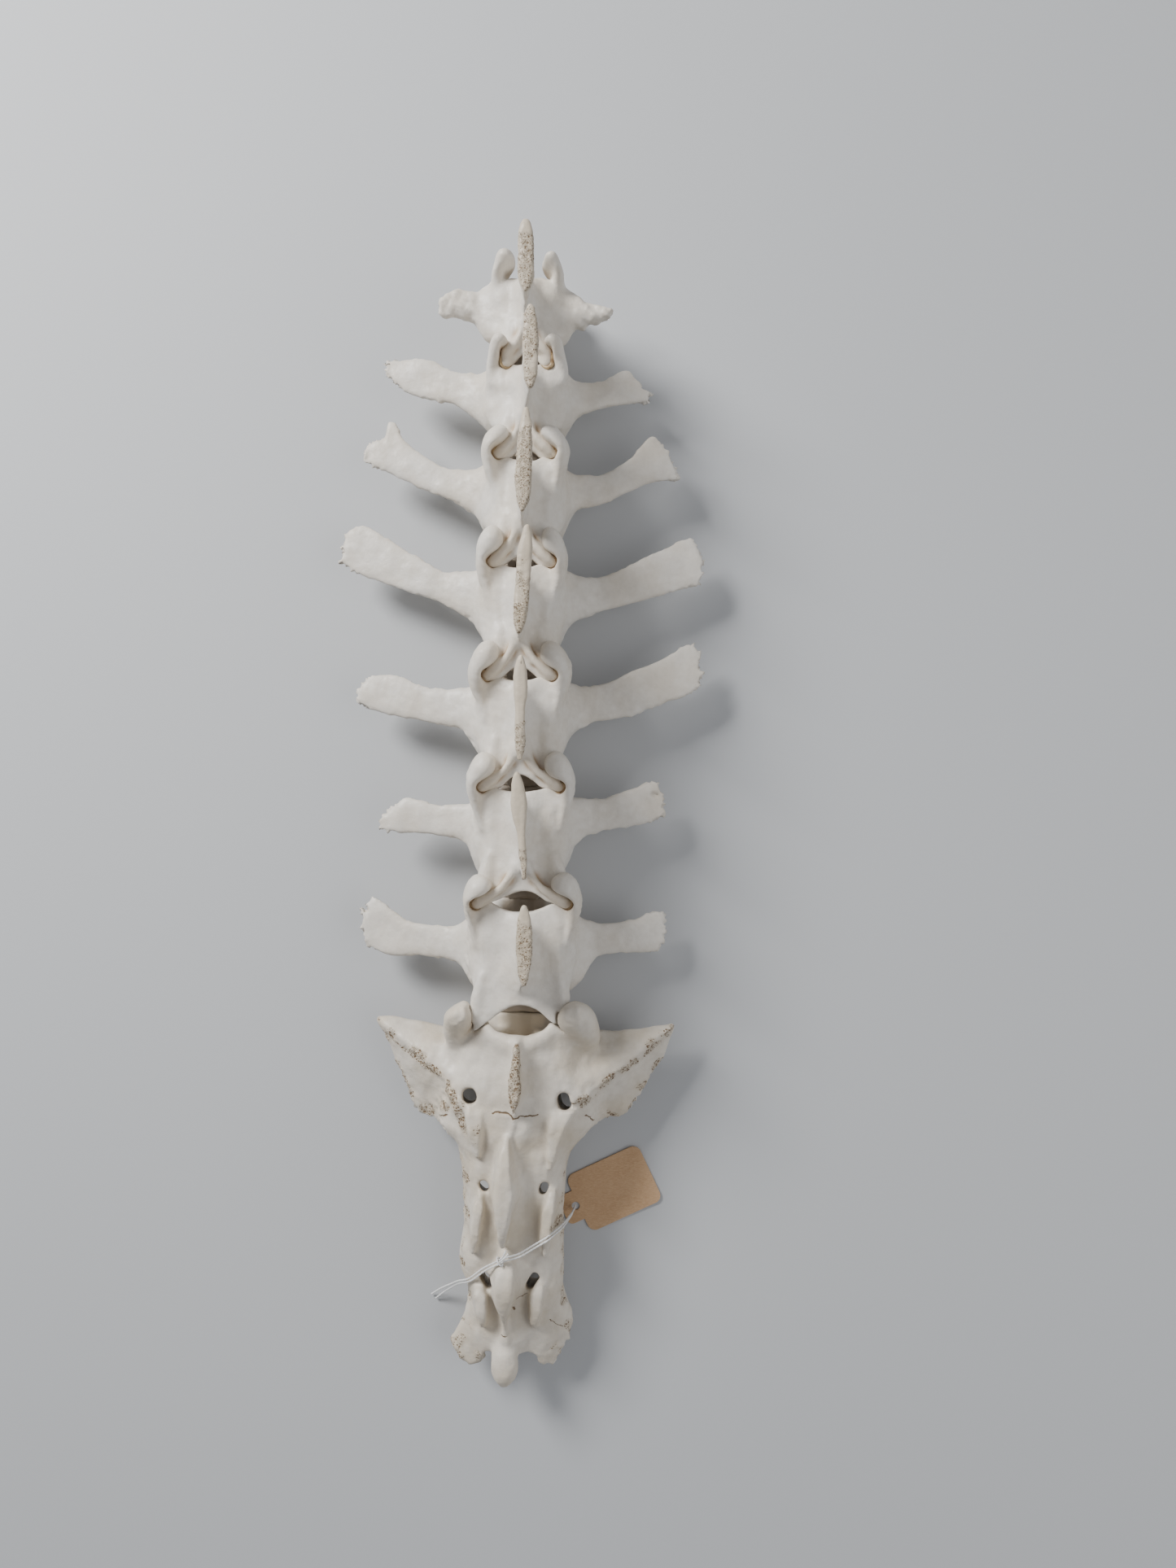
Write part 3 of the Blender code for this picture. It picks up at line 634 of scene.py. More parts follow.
def lobe_outline(spread: float, reach: float, inner: float = 1.0, outer: float = 1.0) -> Stations:
    """An ear-like outline for a lobe, as stations of (place from the joint, inner edge, outer edge).

    Args:
        spread: Distance of the rod from the middle line.
        reach: How far the lobe's tip lies in front of the joint.
        inner: Scales how far it covers the rod.
        outer: Scales how far it stands out.

    Returns:
        The stations, from its root to its tip.
    """
    plain = ((-15.0, 0.6, 2.2), (-11.0, 1.0, 3.8), (-7.5, 1.4, 5.2), (-5.0, 1.6, 6.0), (-2.5, 1.4, 6.6),
             (0.5, 0.2, 6.9), (3.0, -1.8, 6.7), (6.0, -3.0, 5.9), (8.5, -2.9, 4.6), (10.5, -1.9, 3.0),
             (11.5, -0.6, 1.6))
    stretch = reach / plain[-1][0]
    return tuple((v * (stretch if v > 0 else 1), spread + (a * inner if a < 0 else a), spread + b * outer)
                 for v, a, b in plain)


@dataclass(frozen=True)
class Joint:
    """Where two bones meet.

    rear_edge is (place of the middle, half width, place of the corners) for the edge of the arch in front;
    front_edge is (place of the middle, place of the corners) for the arch behind. Places are measured from
    the joint, towards the head. Each lobe is stations of (place, inner edge, outer edge).
    """

    y: float
    x: float
    spread: float
    left: Stations
    right: Stations
    rear_edge: Station
    front_edge: Station
    foot: Station = (1.3, -0.6)
    spur_start: int = 0
    lobe_depth: float = 0.0
    lobe_fall: float = 0.0
    rod_scale: float = 1.0

    def rod_axis(self, side: Side, beyond: float) -> Array:
        """A point on a rod's axis, this far in front of the joint. Rods spread towards the tail.

        Args:
            side: Which side of the animal.
            beyond: How far in front of the joint.

        Returns:
            The point.
        """
        share = (SIZES.rod_root - beyond) / (SIZES.rod_root + SIZES.rod_reach)
        spread = self.spread - SIZES.rod_splay * (1 - share)
        return np.array((self.x + side.value * spread, self.y + beyond, SIZES.rod_height + (1 - share)))

    def rod(self, side: Side) -> Skin:
        """The rod-shaped process of the bone in front, which lies under the lobe's lip.

        Args:
            side: Which side of the animal.

        Returns:
            The skin.
        """
        places = (SIZES.rod_root + 3, SIZES.rod_root, 7, 2, 0.6)
        radii = self.rod_scale * np.array((1.6, 2.3, 2.7, 2.6, 2.0))
        return tube([self.rod_axis(side, place) for place in places], radii)

    def spur_line(self, side: Side) -> Array:
        """The ridge from the foot of the crest to the rod's free end, as points.

        Args:
            side: Which side of the animal.

        Returns:
            Its points.
        """
        wide, long = self.spread / 8.8, np.interp(self.spread, (6.6, 8.8), (0.72, 1.0))
        end = (self.spread + self.foot[0], self.foot[1], 33.3)
        rows = ((1.5 * wide, 12.6 * long, 36.2), (2.0 * wide, 9.8 * long, 36.1),
                (2.9 * wide, 7.4 * long, 35.8), (4.4 * wide, 4.6 * long, 35.4),
                (6.8 * wide, 1.9 * long, 35.0), (8.9 * wide, 0.2, 34.2), end)
        return np.array([(self.x + side.value * u, self.y + v, z) for u, v, z in rows[self.spur_start:]])

    def spur(self, side: Side, lift: float = 0.0) -> Skin:
        """That ridge: thin at the crest and thick at its free end; lifted, it clears the room above."""
        return tube(self.spur_line(side) + (0, 0, lift), SPUR_RADII[self.spur_start:])

    def seam(self, side: Side) -> Skin:
        """The glue and dried dirt in the groove round a rod's free end.

        In words: a thin bead at the ridge's radius beside its line, on the outer side, then round the end
        in steps of 30 degrees and a little way back along the inner side.

        Args:
            side: Which side of the animal.

        Returns:
            The skin.
        """
        line, radius = self.spur_line(side)[-3:], SPUR_RADII[-1]
        ahead = unit((line[-1] - line[-2]) * (1, 1, 0))
        out = side.value * np.array((-ahead[1], ahead[0], 0.0))
        turn = np.radians(np.arange(60, -91, -30))[:, None]
        bead = np.vstack([line + radius * out * np.array(((0.6,), (0.85,), (1.0,))),
                          line[-1] + radius * (np.cos(turn) * ahead + np.sin(turn) * out),
                          line[-1:] - radius * out - 1.6 * ahead])
        bead[:, 2] = np.linspace(bead[0, 2] - 0.2, 32.2, len(bead))
        return tube(bead, np.interp(np.arange(len(bead)), (0, 2, 6, 9), (0.3, 0.55, 0.7, 0.35)), 12)

    def lobe(self, side: Side) -> Skin:
        """The swollen process of the bone behind, before the rod's room is carved out of it.

        In words: rounded sections along the spine from the stations' inner to their outer edges, whose
        top and underside are smooth curves of the share of the way from root to tip.

        Args:
            side: Which side of the animal.

        Returns:
            The skin.
        """
        stations = self.left if side is Side.LEFT else self.right
        root, tip = stations[0][0], stations[-1][0]
        share = np.clip([(row[0] - root) / (tip - root) for row in stations], 0, 1)
        low = np.interp(share, (0, 0.3, 0.5, 0.8, 0.92, 1), (27.0, 25.5, 24.5, 25.0, 28.0, 31.5))
        low = low - self.lobe_depth * (1 - share**3)
        top = np.interp(share, (0, 0.15, 0.3, 0.43, 0.57, 0.7, 0.8, 0.9, 0.96, 1),
                        (31.5, 33.2, 35.0, 37.0, 39.4, 41.0, 41.5, 40.7, 39.2, 37.0))
        top = top - self.lobe_fall * (0.3 + (1 - share) ** 2)
        rows = [(*row, a, b) for row, a, b in zip(stations, low, top)]
        place, inner, outer, low, top = columns(rows, 40)
        ring = unit_ring(28, 2.25)
        across = (inner + outer) / 2 + (outer - inner) / 2 * ring[0]
        tilt = 0.09 * (across - inner) * (ring[1] > 0)
        height = (low + top) / 2 + (top - low) / 2 * ring[1] - tilt
        return sections(self.x + side.value * across, self.y + place, height)


HOOK_LEFT = ((-8.0, 9.4, 10.3), (-6.0, 8.4, 11.2), (-4.4, 8.0, 11.8), (-2.8, 8.1, 11.9), (-1.6, 7.2, 11.8),
             (-0.6, 5.2, 11.6), (0.4, 4.0, 11.4), (1.6, 3.7, 11.1), (2.8, 3.9, 10.6), (3.8, 4.6, 10.1),
             (4.5, 5.8, 9.4), (4.9, 6.9, 8.8))
HOOK_RIGHT = ((-8.0, 9.6, 10.8), (-6.0, 8.8, 11.8), (-4.4, 8.7, 12.4), (-2.8, 8.9, 12.6), (-1.4, 8.0, 12.6),
              (-0.4, 6.3, 12.4), (0.6, 5.4, 12.1), (1.6, 5.3, 11.7), (2.6, 5.9, 11.2), (3.4, 7.0, 10.4),
              (4.0, 8.2, 9.6))
SLIM = ((-8.0, 12.1, 12.8), (-5.0, 10.5, 13.7), (-2.5, 8.4, 13.6), (-1.0, 7.1, 13.3), (0.9, 6.0, 12.9),
        (3.2, 5.7, 12.2), (4.7, 6.8, 11.3), (5.8, 8.6, 9.8))
EGG_LEFT = ((-12.5, 20.2, 24.2), (-10.5, 19.3, 25.1), (-8.2, 18.5, 25.8), (-5.6, 17.5, 26.4),
            (-3.0, 16.4, 26.5), (-0.5, 15.8, 26.3), (2.0, 15.8, 25.7), (4.3, 16.8, 23.6), (5.6, 17.4, 21.2),
            (6.3, 18.1, 19.7))
EGG_RIGHT = ((-14.0, 20.2, 22.8), (-12.0, 18.4, 25.2), (-9.5, 16.6, 26.8), (-6.5, 14.6, 27.2),
             (-4.0, 13.3, 26.9), (-1.5, 12.6, 26.3), (1.2, 12.4, 25.6), (3.6, 13.2, 24.0), (5.5, 15.0, 21.6),
             (6.4, 16.8, 19.5))
JOINTS = (
    Joint(189.0, 2.5, 6.6, HOOK_LEFT, HOOK_RIGHT, (0.5, 4.8, -3.0), (-4.3, -4.3)),
    Joint(160.0, 2.5, 6.8, SLIM, SLIM, (0.5, 4.6, -3.0), (-4.2, -3.0), (0.2, -2.6)),
    Joint(127.1, 2.0, 8.0, lobe_outline(8.0, 8.2), lobe_outline(8.0, 8.2), (1.2, 5.6, -2.3), (-3.2, -1.4)),
    Joint(90.7, 0.8, 8.8, lobe_outline(8.8, 11.4), lobe_outline(8.8, 10.8, 0.7),
          (1.7, 6.3, -2.0), (-2.6, -1.0)),
    Joint(52.4, 0.2, 9.8, lobe_outline(9.8, 11.2, 1.0, 1.12), lobe_outline(9.8, 11.0, 1.0, 1.1),
          (2.2, 6.4, -1.8), (-2.5, -0.9)),
    Joint(14.9, 0.5, 11.8, lobe_outline(11.8, 11.2, 1.2, 0.95), lobe_outline(11.8, 11.4, 1.2, 0.95),
          (3.4, 6.6, -1.2), (-2.3, -0.6)),
    Joint(-24.3, 0.8, 14.0, lobe_outline(14.0, 9.4, 1.4, 0.85), lobe_outline(14.0, 9.8, 1.4, 0.9),
          (3.5, 8.6, -0.3), (-3.8, -0.3)),
    Joint(-64.5, 0.2, 16.2, EGG_LEFT, EGG_RIGHT, (5.3, 10.5, -1.0), (-6.4, -0.8), (0.8, -3.8),
          spur_start=4, lobe_depth=6.5, lobe_fall=5.5, rod_scale=0.7),
)


@dataclass(frozen=True)
class VertebraSizes:
    """One vertebra between two joints. A side process is stations of (reach from the middle line, front
    edge, back edge); edges and the crest's ends are measured from the middle of the body."""

    name: str
    waist: float
    left: Stations
    right: Stations
    side_heights: tuple[float, float]
    side_halves: tuple[float, float, float]
    crest_top: float
    crest_ends: tuple[float, float]
    crest_lean: tuple[float, float]
    border: float = 10.3
    roughness: float = 0.0
    smooth_from: float = 0.75
    shoulder: float = 3.9
    chips: float = 1.0
    crest_widths: Stations = ((0.0, 0.75), (0.12, 1.0), (0.85, 1.0), (1.0, 0.7))


VERTEBRAE = (
    VertebraSizes(
        "vertebra_t13", 11.4,
        ((9, 12, -8), (14, 11, -7), (18, 9, -1.5), (24, 9.5, 0), (29, 7.5, 0.7), (31, 5, 3.5)),
        ((9, 11, -9), (12.5, 10, -8.5), (16, 8.5, -3.8), (20, 5.7, -2.4), (25, 4.3, -1), (29.8, 2.4, 0.2)),
        (26.0, 28.0), (4.5, 3.6, 2.4), 65.0, (16.0, -6.6), (1.6, 1.6), 8.4, 1.0, 0.78, chips=0.2,
        crest_widths=((0, 0.7), (0.2, 1.0), (0.7, 1.08), (0.85, 1.0), (0.92, 0.95), (1, 0.85))),
    VertebraSizes(
        "vertebra_l1", 13.0,
        ((11, 17, -6), (18, 14.8, -1), (26, 16, 4.5), (34, 20, 6.3), (44, 21, 10), (51.5, 20.4, 17)),
        ((11, 16, -6), (17, 12.2, -0.5), (26, 13, 3), (35, 17, 5), (38, 14, 5.5), (44.4, 9, 6.2)),
        (20.0, 16.0), (4.6, 1.9, 1.2), 66.0, (20.3, -6.0), (3.3, 3.3), 9.6, 0.0, 0.95),
    VertebraSizes(
        "vertebra_l2", 13.2,
        ((11, 19, -7), (18, 16, 0.5), (26, 16.6, 5.8), (35, 21, 9.3), (43, 28, 13), (46.2, 34, 14.6),
         (48.6, 34.2, 15.8), (49.6, 28.2, 16.3), (54, 27.2, 18.6), (58.3, 23.4, 21)),
        ((11, 18, -6), (18, 14.3, 2), (26, 14.7, 4), (36, 20.5, 8.6), (45, 29, 12.4), (49, 25, 12.8),
         (53.8, 16, 13.8)),
        (20.0, 15.0), (4.8, 1.9, 1.2), 66.0, (23.1, -9.7), (2.9, 1.4), 9.8, 0.0, 0.8,
        crest_widths=((0, 0.5), (0.15, 1.05), (0.5, 1.0), (0.85, 0.85), (1, 0.75))),
    VertebraSizes(
        "vertebra_l3", 13.2,
        ((11, 21, -6), (17, 18, 0), (25, 18, 5.2), (36, 22.6, 9.7), (48, 30.3, 14), (58, 35.2, 17.8),
         (65.3, 29.8, 23)),
        ((11, 20, -6), (17, 17.2, 0), (24, 16, 3), (38, 21.2, 7), (50, 27, 10.5), (59, 30.3, 13.3),
         (64.6, 21, 15.6)),
        (20.0, 14.0), (5.0, 1.9, 1.2), 66.0, (24.1, -10.2), (4.1, 1.3), 10.3, 0.0, 0.62,
        crest_widths=((0, 0.6), (0.1, 1.0), (0.4, 0.95), (0.75, 0.95), (1, 0.75))),
    VertebraSizes(
        "vertebra_l4", 14.2,
        ((11, 18.5, -12), (16, 16, -6), (21, 15.2, 0), (32, 15.3, 3), (46, 20.3, 5.8), (54, 20, 8),
         (60, 13, 11)),
        ((11, 19.5, -10), (16, 16.8, -2), (23, 15.9, 2.3), (38, 21.2, 5.6), (50, 26.3, 10), (59, 31.4, 13.5),
         (64.4, 25, 18)),
        (20.0, 14.0), (5.0, 1.9, 1.2), 65.5, (22.2, -11.4), (2.3, 1.8), 11.2, 0.0, 0.42,
        crest_widths=((0, 0.55), (0.08, 0.7), (0.5, 0.66), (0.8, 0.95), (0.93, 0.85), (1, 0.75))),
    VertebraSizes(
        "vertebra_l5", 14.6,
        ((12, 16, -15), (16, 14, -9), (20, 13, -1.5), (30, 12.9, 2), (41, 15.3, 2.9), (51.3, 7.4, 4)),
        ((12, 17, -12), (18, 15, -1), (27, 15, 3.3), (37, 18, 4.8), (46, 21, 7), (50.3, 14, 9.6)),
        (20.0, 15.0), (5.0, 2.0, 1.3), 64.0, (23.9, -10.0), (0.4, 2.9), 12.0, 0.0, 0.3, 3.1,
        crest_widths=((0, 0.35), (0.08, 0.5), (0.42, 0.5), (0.6, 0.95), (0.72, 1.1), (0.88, 0.9), (1, 0.7))),
    VertebraSizes(
        "vertebra_l6", 17.6,
        ((13, 14, -14), (18.5, 12.2, -7.5), (25, 10, -2.2), (38, 10.7, -0.8), (48, 16.3, -0.5),
         (53, 20.0, 1.0), (56.4, 17.4, 2.8), (58.2, 16.2, 4.2)),
        ((13, 15, -15), (20, 12.6, -8.5), (27, 10.8, -0.8), (39, 12.3, 0.3), (47, 15, 0), (51.4, 11.5, 5)),
        (19.0, 13.0), (5.2, 2.1, 1.3), 61.0, (21.9, -4.1), (2.9, 2.7), 14.6, 0.0, 0.82, 2.3,
        crest_widths=((0, 0.45), (0.12, 0.85), (0.4, 1.05), (0.8, 0.95), (1, 0.75))),
)


def flat_process(stations: Sequence[Station], side: Side, middle: float, centre_y: float,
                 heights: tuple[float, float], halves: tuple[float, float, float]) -> Skin:
    """A flat process that grows sideways.

    In words: across a line that runs outwards, the section is a flattened squarish oval from front edge
    to back edge, whose level and half thickness go from root to tip; a last, shorter one rounds the tip.

    Args:
        stations: Rows of (reach from the middle line, front edge, back edge).
        side: Which side of the animal.
        middle: x of the middle line.
        centre_y: y that the edges are measured from.
        heights: Level at root and tip.
        halves: Half thickness at root, neck and tip.

    Returns:
        The skin.
    """
    reach, front, back = stations[-1]
    inset = 0.35 * (front - back)
    stations = (*stations, (reach + 1.4, front - inset, back + inset))
    reach, front, back = columns(stations, 12 * len(stations))
    share = (reach - reach[0]) / (reach[-1] - reach[0])
    half = np.interp(share, (0, 0.3, 1), halves)
    ring = unit_ring(28, 2.6)
    y = centre_y + (front + back) / 2 + (front - back) / 2 * ring[0]
    return sections(middle + side.value * reach, y, between(*heights, share) + half * ring[1])


def upright_blade(base_ends: Station, top_ends: Station, lean: Station, heights: Station,
                  halves: Sequence[Station], middle: float, widths: Sequence[Station]) -> Skin:
    """An upright crest.

    In words: level sections from base to top, each a long oval between eased front and back ends, shifted
    sideways by a share of the lean that grows with the 1.4th power of the height.

    Args:
        base_ends: y of the front and back ends at the base.
        top_ends: The same at the top.
        lean: Sideways shift of the top's front and back ends.
        heights: Levels of base and top.
        halves: Pairs of (share of the height, half thickness).
        middle: x of the crest at its base.
        widths: Pairs of (share of the way from the back end to the front end, scale of the thickness).

    Returns:
        The skin.
    """
    share = np.linspace(0, 1, 44)[:, None]
    eased = share * share * (3 - 2 * share)
    front, back = (between(base, top, eased) for base, top in zip(base_ends, top_ends))
    half = np.interp(share, *zip(*halves))
    ring = unit_ring(52, 2.9)
    y = (front + back) / 2 + (front - back) / 2 * ring[1]
    place = (y - back) / (front - back)
    shift = between(lean[1], lean[0], place) * share**1.4
    x = middle + shift + half * ring[0] * np.interp(place, *zip(*widths))
    return sections(x, y, between(*heights, share))


def keeled_body(stations: Sequence[Station], middle: Callable[[Array], Array], rows: int, count: int) -> Skin:
    """Vertebral bodies: squarish rings, with a keel underneath that is a bell curve across the middle.

    Args:
        stations: Rows of (y, half width, underside, top).
        middle: Gives x of the middle line at y.
        rows: How many rings.
        count: Points in a ring.

    Returns:
        The skin.
    """
    y, half, low, high = columns(stations, rows)
    ring = unit_ring(count, 2.4)
    across, upright = half * ring[0], (high - low) / 2 * ring[1]
    keel = SIZES.keel * np.clip((low + SIZES.seat) / SIZES.body_hollow, 0, 1)
    keel = keel * bell(across, SIZES.keel_width) * (upright < 0)
    return sections(middle(y) + across, y, (high + low) / 2 + upright - keel)


@dataclass
class Vertebra:
    """One vertebra: body, arch, crest, two flat side processes, and the lobes and rods of its joints."""

    sizes: VertebraSizes
    front: Joint
    back: Joint
    seed: int
    step: float = 0.5
    material: bpy.types.Material | None = None
    seam_material: bpy.types.Material | None = None

    @property
    def centre(self) -> tuple[float, float]:
        """x and y of the middle of the body."""
        return (self.front.x + self.back.x) / 2, (self.front.y + self.back.y) / 2

    def middle(self, y: Array) -> Array:
        """x of the middle line at y."""
        return between(self.back.x, self.front.x, (y - self.back.y) / (self.front.y - self.back.y))

    def stations(self, side: Side) -> Stations:
        """The outline of the flat process on one side."""
        return self.sizes.left if side is Side.LEFT else self.sizes.right

    def body(self) -> Skin:
        """The body, which narrows to a waist between raised rims.

        Returns:
            The skin.
        """
        half = (self.front.y - self.back.y) / 2 - SIZES.gap / 4
        y, wide = self.centre[1], SIZES.body_half_width
        low, top = -SIZES.seat, SIZES.body_top
        stations = (
            (y - half, wide - 0.9, 0.4, top + 0.1), (y - half + 0.5, wide - 0.1, low, top + 0.3),
            (y - half + 3, wide - 0.2, low, top + 0.3), (y - half + 6.5, wide - 1.6, low + 1.0, top),
            (y, wide * (1 - SIZES.body_waist), SIZES.body_hollow, top),
            (y + half - 6.5, wide - 2.0, low + 1.0, top), (y + half - 3, wide - 0.7, low, top + 0.3),
            (y + half - 0.5, wide - 0.7, low, top + 0.3), (y + half, wide - 1.5, 0.4, top + 0.1),
        )
        return keeled_body(stations, self.middle, 60, 60)

    def arch(self) -> Skin:
        """The vaulted plate over the canal.

        In words: the outer line rises steeply from the border, with a shallow valley on each side of the
        crest; the inner line is a smaller copy. Each end is an arc: its place is that of the middle plus a
        share of the way to the corners that grows with the square of the distance from the middle line.

        Returns:
            The skin.
        """
        front, back, border, top = self.front, self.back, self.sizes.border, SIZES.arch_top
        apex, corner_x, corner_y = back.rear_edge
        middle_y, front_y = front.front_edge
        inside = back.spread + back.foot[0] - 0.6
        share, half, low, high = columns((
            (0.0, inside, 30.2, top - 1.0), (0.1, inside - 0.5, 30.0, top - 0.6),
            (0.24, inside + 0.3, 29.6, top - 0.3), (0.38, border + 1.2, 28.5, top), (0.52, border, 27.6, top),
            (0.68, border + 0.3, 27.6, top + 0.2), (0.8, front.right[0][1] + 0.8, 28.0, top + 0.4),
            (0.9, front.right[2][2] - 1.8, 28.6, top + 0.3), (1.0, front.right[3][1] + 1.6, 29.4, top - 0.3),
        ), 54)
        turn = np.linspace(0, math.pi, 40)[None, :]
        thick = top - SIZES.arch_underside
        outer = between(low, high, np.sin(turn) ** 0.62) - 0.9 * bell(abs(np.cos(turn)) - 0.56, 0.22)
        inner = low - 0.5 + (high - low - thick * 0.85) * np.sin(turn) ** 0.7
        across = out_and_back(half * np.cos(turn), (half - thick * 0.8) * np.cos(turn))
        bend = abs(across) / corner_x
        arc = between(apex, corner_y, np.clip(bend, 0, 1.6) ** 2)
        heel = between(corner_y, back.foot[1] - 0.6, ramp(abs(across), corner_x, inside))
        rear = back.y + np.maximum(arc, heel)
        fore = front.y + between(middle_y, front_y, np.clip(bend, 0, 1) ** 2)
        y = between(rear, fore, share)
        return sections(self.middle(y) + across, y, out_and_back(outer, inner))

    def crest(self) -> Skin:
        """The upright crest, thick at its foot and along its top.

        Returns:
            The skin.
        """
        size = self.sizes
        y = self.centre[1]
        return upright_blade(
            (self.front.y - 6.0, self.back.y + 10.5), (y + size.crest_ends[0], y + size.crest_ends[1]),
            size.crest_lean, (SIZES.arch_underside + 2, size.crest_top),
            ((0, 2.6), (0.2, 1.5), (0.6, 1.35), (0.84, 1.9), (0.94, 2.55), (0.98, 2.4), (1, 1.8)),
            self.centre[0], size.crest_widths)

    def wall(self, side: Side) -> Skin:
        """The upright wall between body and arch, which leans inwards above and spreads below.

        Args:
            side: Which side of the animal.

        Returns:
            The skin.
        """
        outer, border = self.sizes.waist - 0.6, self.sizes.border
        front, back = self.front.y - 4.5, self.back.y + 12.6
        level, out, flare = columns((
            (13, outer + 0.4, 3.0), (18, outer + 0.3, 1.4), (22, outer, 0.2),
            (25.5, (outer + border) / 2 + 0.9, 0.0), (28.5, border + 0.7, 0.6), (32.5, border - 1.6, 1.6),
        ), 26)
        ring = unit_ring(28, 2.8)
        x = self.centre[0] + side.value * (out - 2.4 + 2.4 * ring[0])
        return sections(x, (front + back) / 2 + ((front - back) / 2 + flare) * ring[1], level)

    def shoulder(self, side: Side) -> Skin:
        """Fills the corner between the arch's border and the root of the side process.

        Args:
            side: Which side of the animal.

        Returns:
            The skin.
        """
        out, size = self.sizes.border, self.sizes.shoulder
        rows = ((out, self.back.y + 12.5, 26.2), (out + 0.4, self.centre[1], 26.0),
                (out + 0.8, self.front.y - 11, 25.6))
        path = [(self.centre[0] + side.value * reach, y, z) for reach, y, z in rows]
        return tube(path, (0.67 * size, size, 0.85 * size))

    def lip(self) -> Skin:
        """A thin edge of the canal's floor that reaches over the joint, so that no line of light shows.

        In words: an arc of the canal's ring from 205 to 335 degrees, whose outer radius shrinks behind
        the joint so that it clears the next bone.

        Returns:
            The skin.
        """
        y, outer = np.array(((2.6, 6.8), (0.5, 6.6), (0.0, 5.85), (-1.2, 5.8))).T[:, :, None]
        turn = np.radians(np.linspace(205, 335, 16))[None, :]
        radii = out_and_back(outer + 0 * turn, 5.25 + 0 * outer * turn)
        turn = out_and_back(turn, turn)
        return sections(self.back.x + radii * np.cos(turn), self.back.y + y, 25.1 + radii * np.sin(turn))

    def flat(self, side: Side) -> Skin:
        """The flat process that grows to one side."""
        size = self.sizes
        return flat_process(self.stations(side), side, *self.centre, size.side_heights, size.side_halves)

    def broken_tip(self, bone: BoneField, side: Side) -> None:
        """Breaks the tip of a side process along a jagged upright surface.

        In words: bone ends where its reach passes the tip's by less than 1.9 and 0.7 times the sizes of
        two noises, so that it ends in teeth.

        Args:
            bone: The bone, which is changed.
            side: Which side of the animal.
        """
        tip = self.stations(side)[-1][0]
        seed = self.seed + side.value
        rough, fine = Waves(seed + Noise.TIP, 7.0), Waves(seed + Noise.TIP_FINE, 2.0)
        ends = sorted((self.centre[0] + side.value * (tip - 8), self.centre[0] + side.value * (tip + 4)))

        def level(places: Array) -> Array:
            """Distance beyond the broken end.

            Args:
                places: Points of the grid.

            Returns:
                One distance for each.
            """
            out = side.value * (places[..., 0] - self.centre[0])
            flat = places * np.array((1, 1, 0.3), np.float32)
            return out - (tip + 0.9 - 1.9 * abs(rough.at(flat)) - 0.7 * abs(fine.at(flat)))

        bone.keep((ends[0], self.back.y - 5, 5), (ends[1], self.front.y + 25, 35), level)

    def marks(self, points: Array, ways: Array, hollow: Array) -> dict[str, Array]:
        """Where the finish changes.

        Args:
            points: The bone's points.
            ways: Their outward directions.
            hollow: Their hollowness.

        Returns:
            Shares from 0 to 1: porous on broken and worn bone, stain and glue at the joints, canal inside
            the canal, and hollow.
        """
        x, y, z = points.T
        size = self.sizes
        out = x - self.centre[0]
        tips = np.where(out < 0, size.left[-1][0], size.right[-1][0])
        patchy = 0.5 + 0.5 * Waves(self.seed + Noise.PATCHES, 7.0).at(points)
        front, back = self.centre[1] + size.crest_ends[0], self.centre[1] + size.crest_ends[1]
        place = (y - back) / (front - back)
        worn = ramp(z, size.crest_top - 2.4, size.crest_top - 0.9)
        porous = worn * np.clip(0.75 + 0.35 * patchy, 0, 1)
        porous *= 1 - 0.85 * ramp(place + 0.12 * patchy, size.smooth_from, size.smooth_from + 0.12)
        porous = np.maximum(porous, 0.55 * ramp(abs(out), tips - 1.7, tips - 0.9))
        porous = np.maximum(porous, 0.45 * size.roughness * ramp(abs(out), 21, 25) * ramp(patchy, 0.3, 0.8))
        stain, glue = np.zeros(len(x)), np.zeros(len(x))
        for joint in (self.front, self.back):
            if joint in (JOINTS[0], JOINTS[-1]):
                continue
            for side in Side:
                line = joint.spur_line(side)[-5:]
                stain = np.maximum(stain, bell(np.clip(distance_to_chain(points, line) - 1.4, 0, None), 1.5))
                glue = np.maximum(glue, bell(np.linalg.norm(points - line[-1], axis=1), 2.4))
        roof = inside_canal(points, ways, self.middle(y), 25.3, 10.5)
        edges = 0.7 * ramp(abs(out), 15, 19) * ramp(abs(ways[:, 2]), 0.75, 0.45) * ramp(patchy, 0.2, 0.8)
        rough = np.maximum(size.roughness * ramp(abs(out), 14, 20), 0.5 * ramp(abs(out), tips - 5, tips))
        rough = np.maximum(rough, edges)
        chipped = size.chips * ramp(abs(out), tips - 9, tips - 4) * ramp(abs(ways[:, 2]), 0.8, 0.4)
        return {"porous": porous, "worn": worn, "stain": stain, "glue": glue, "canal": roof, "hollow": hollow,
                "rough": rough, "chipped": chipped}

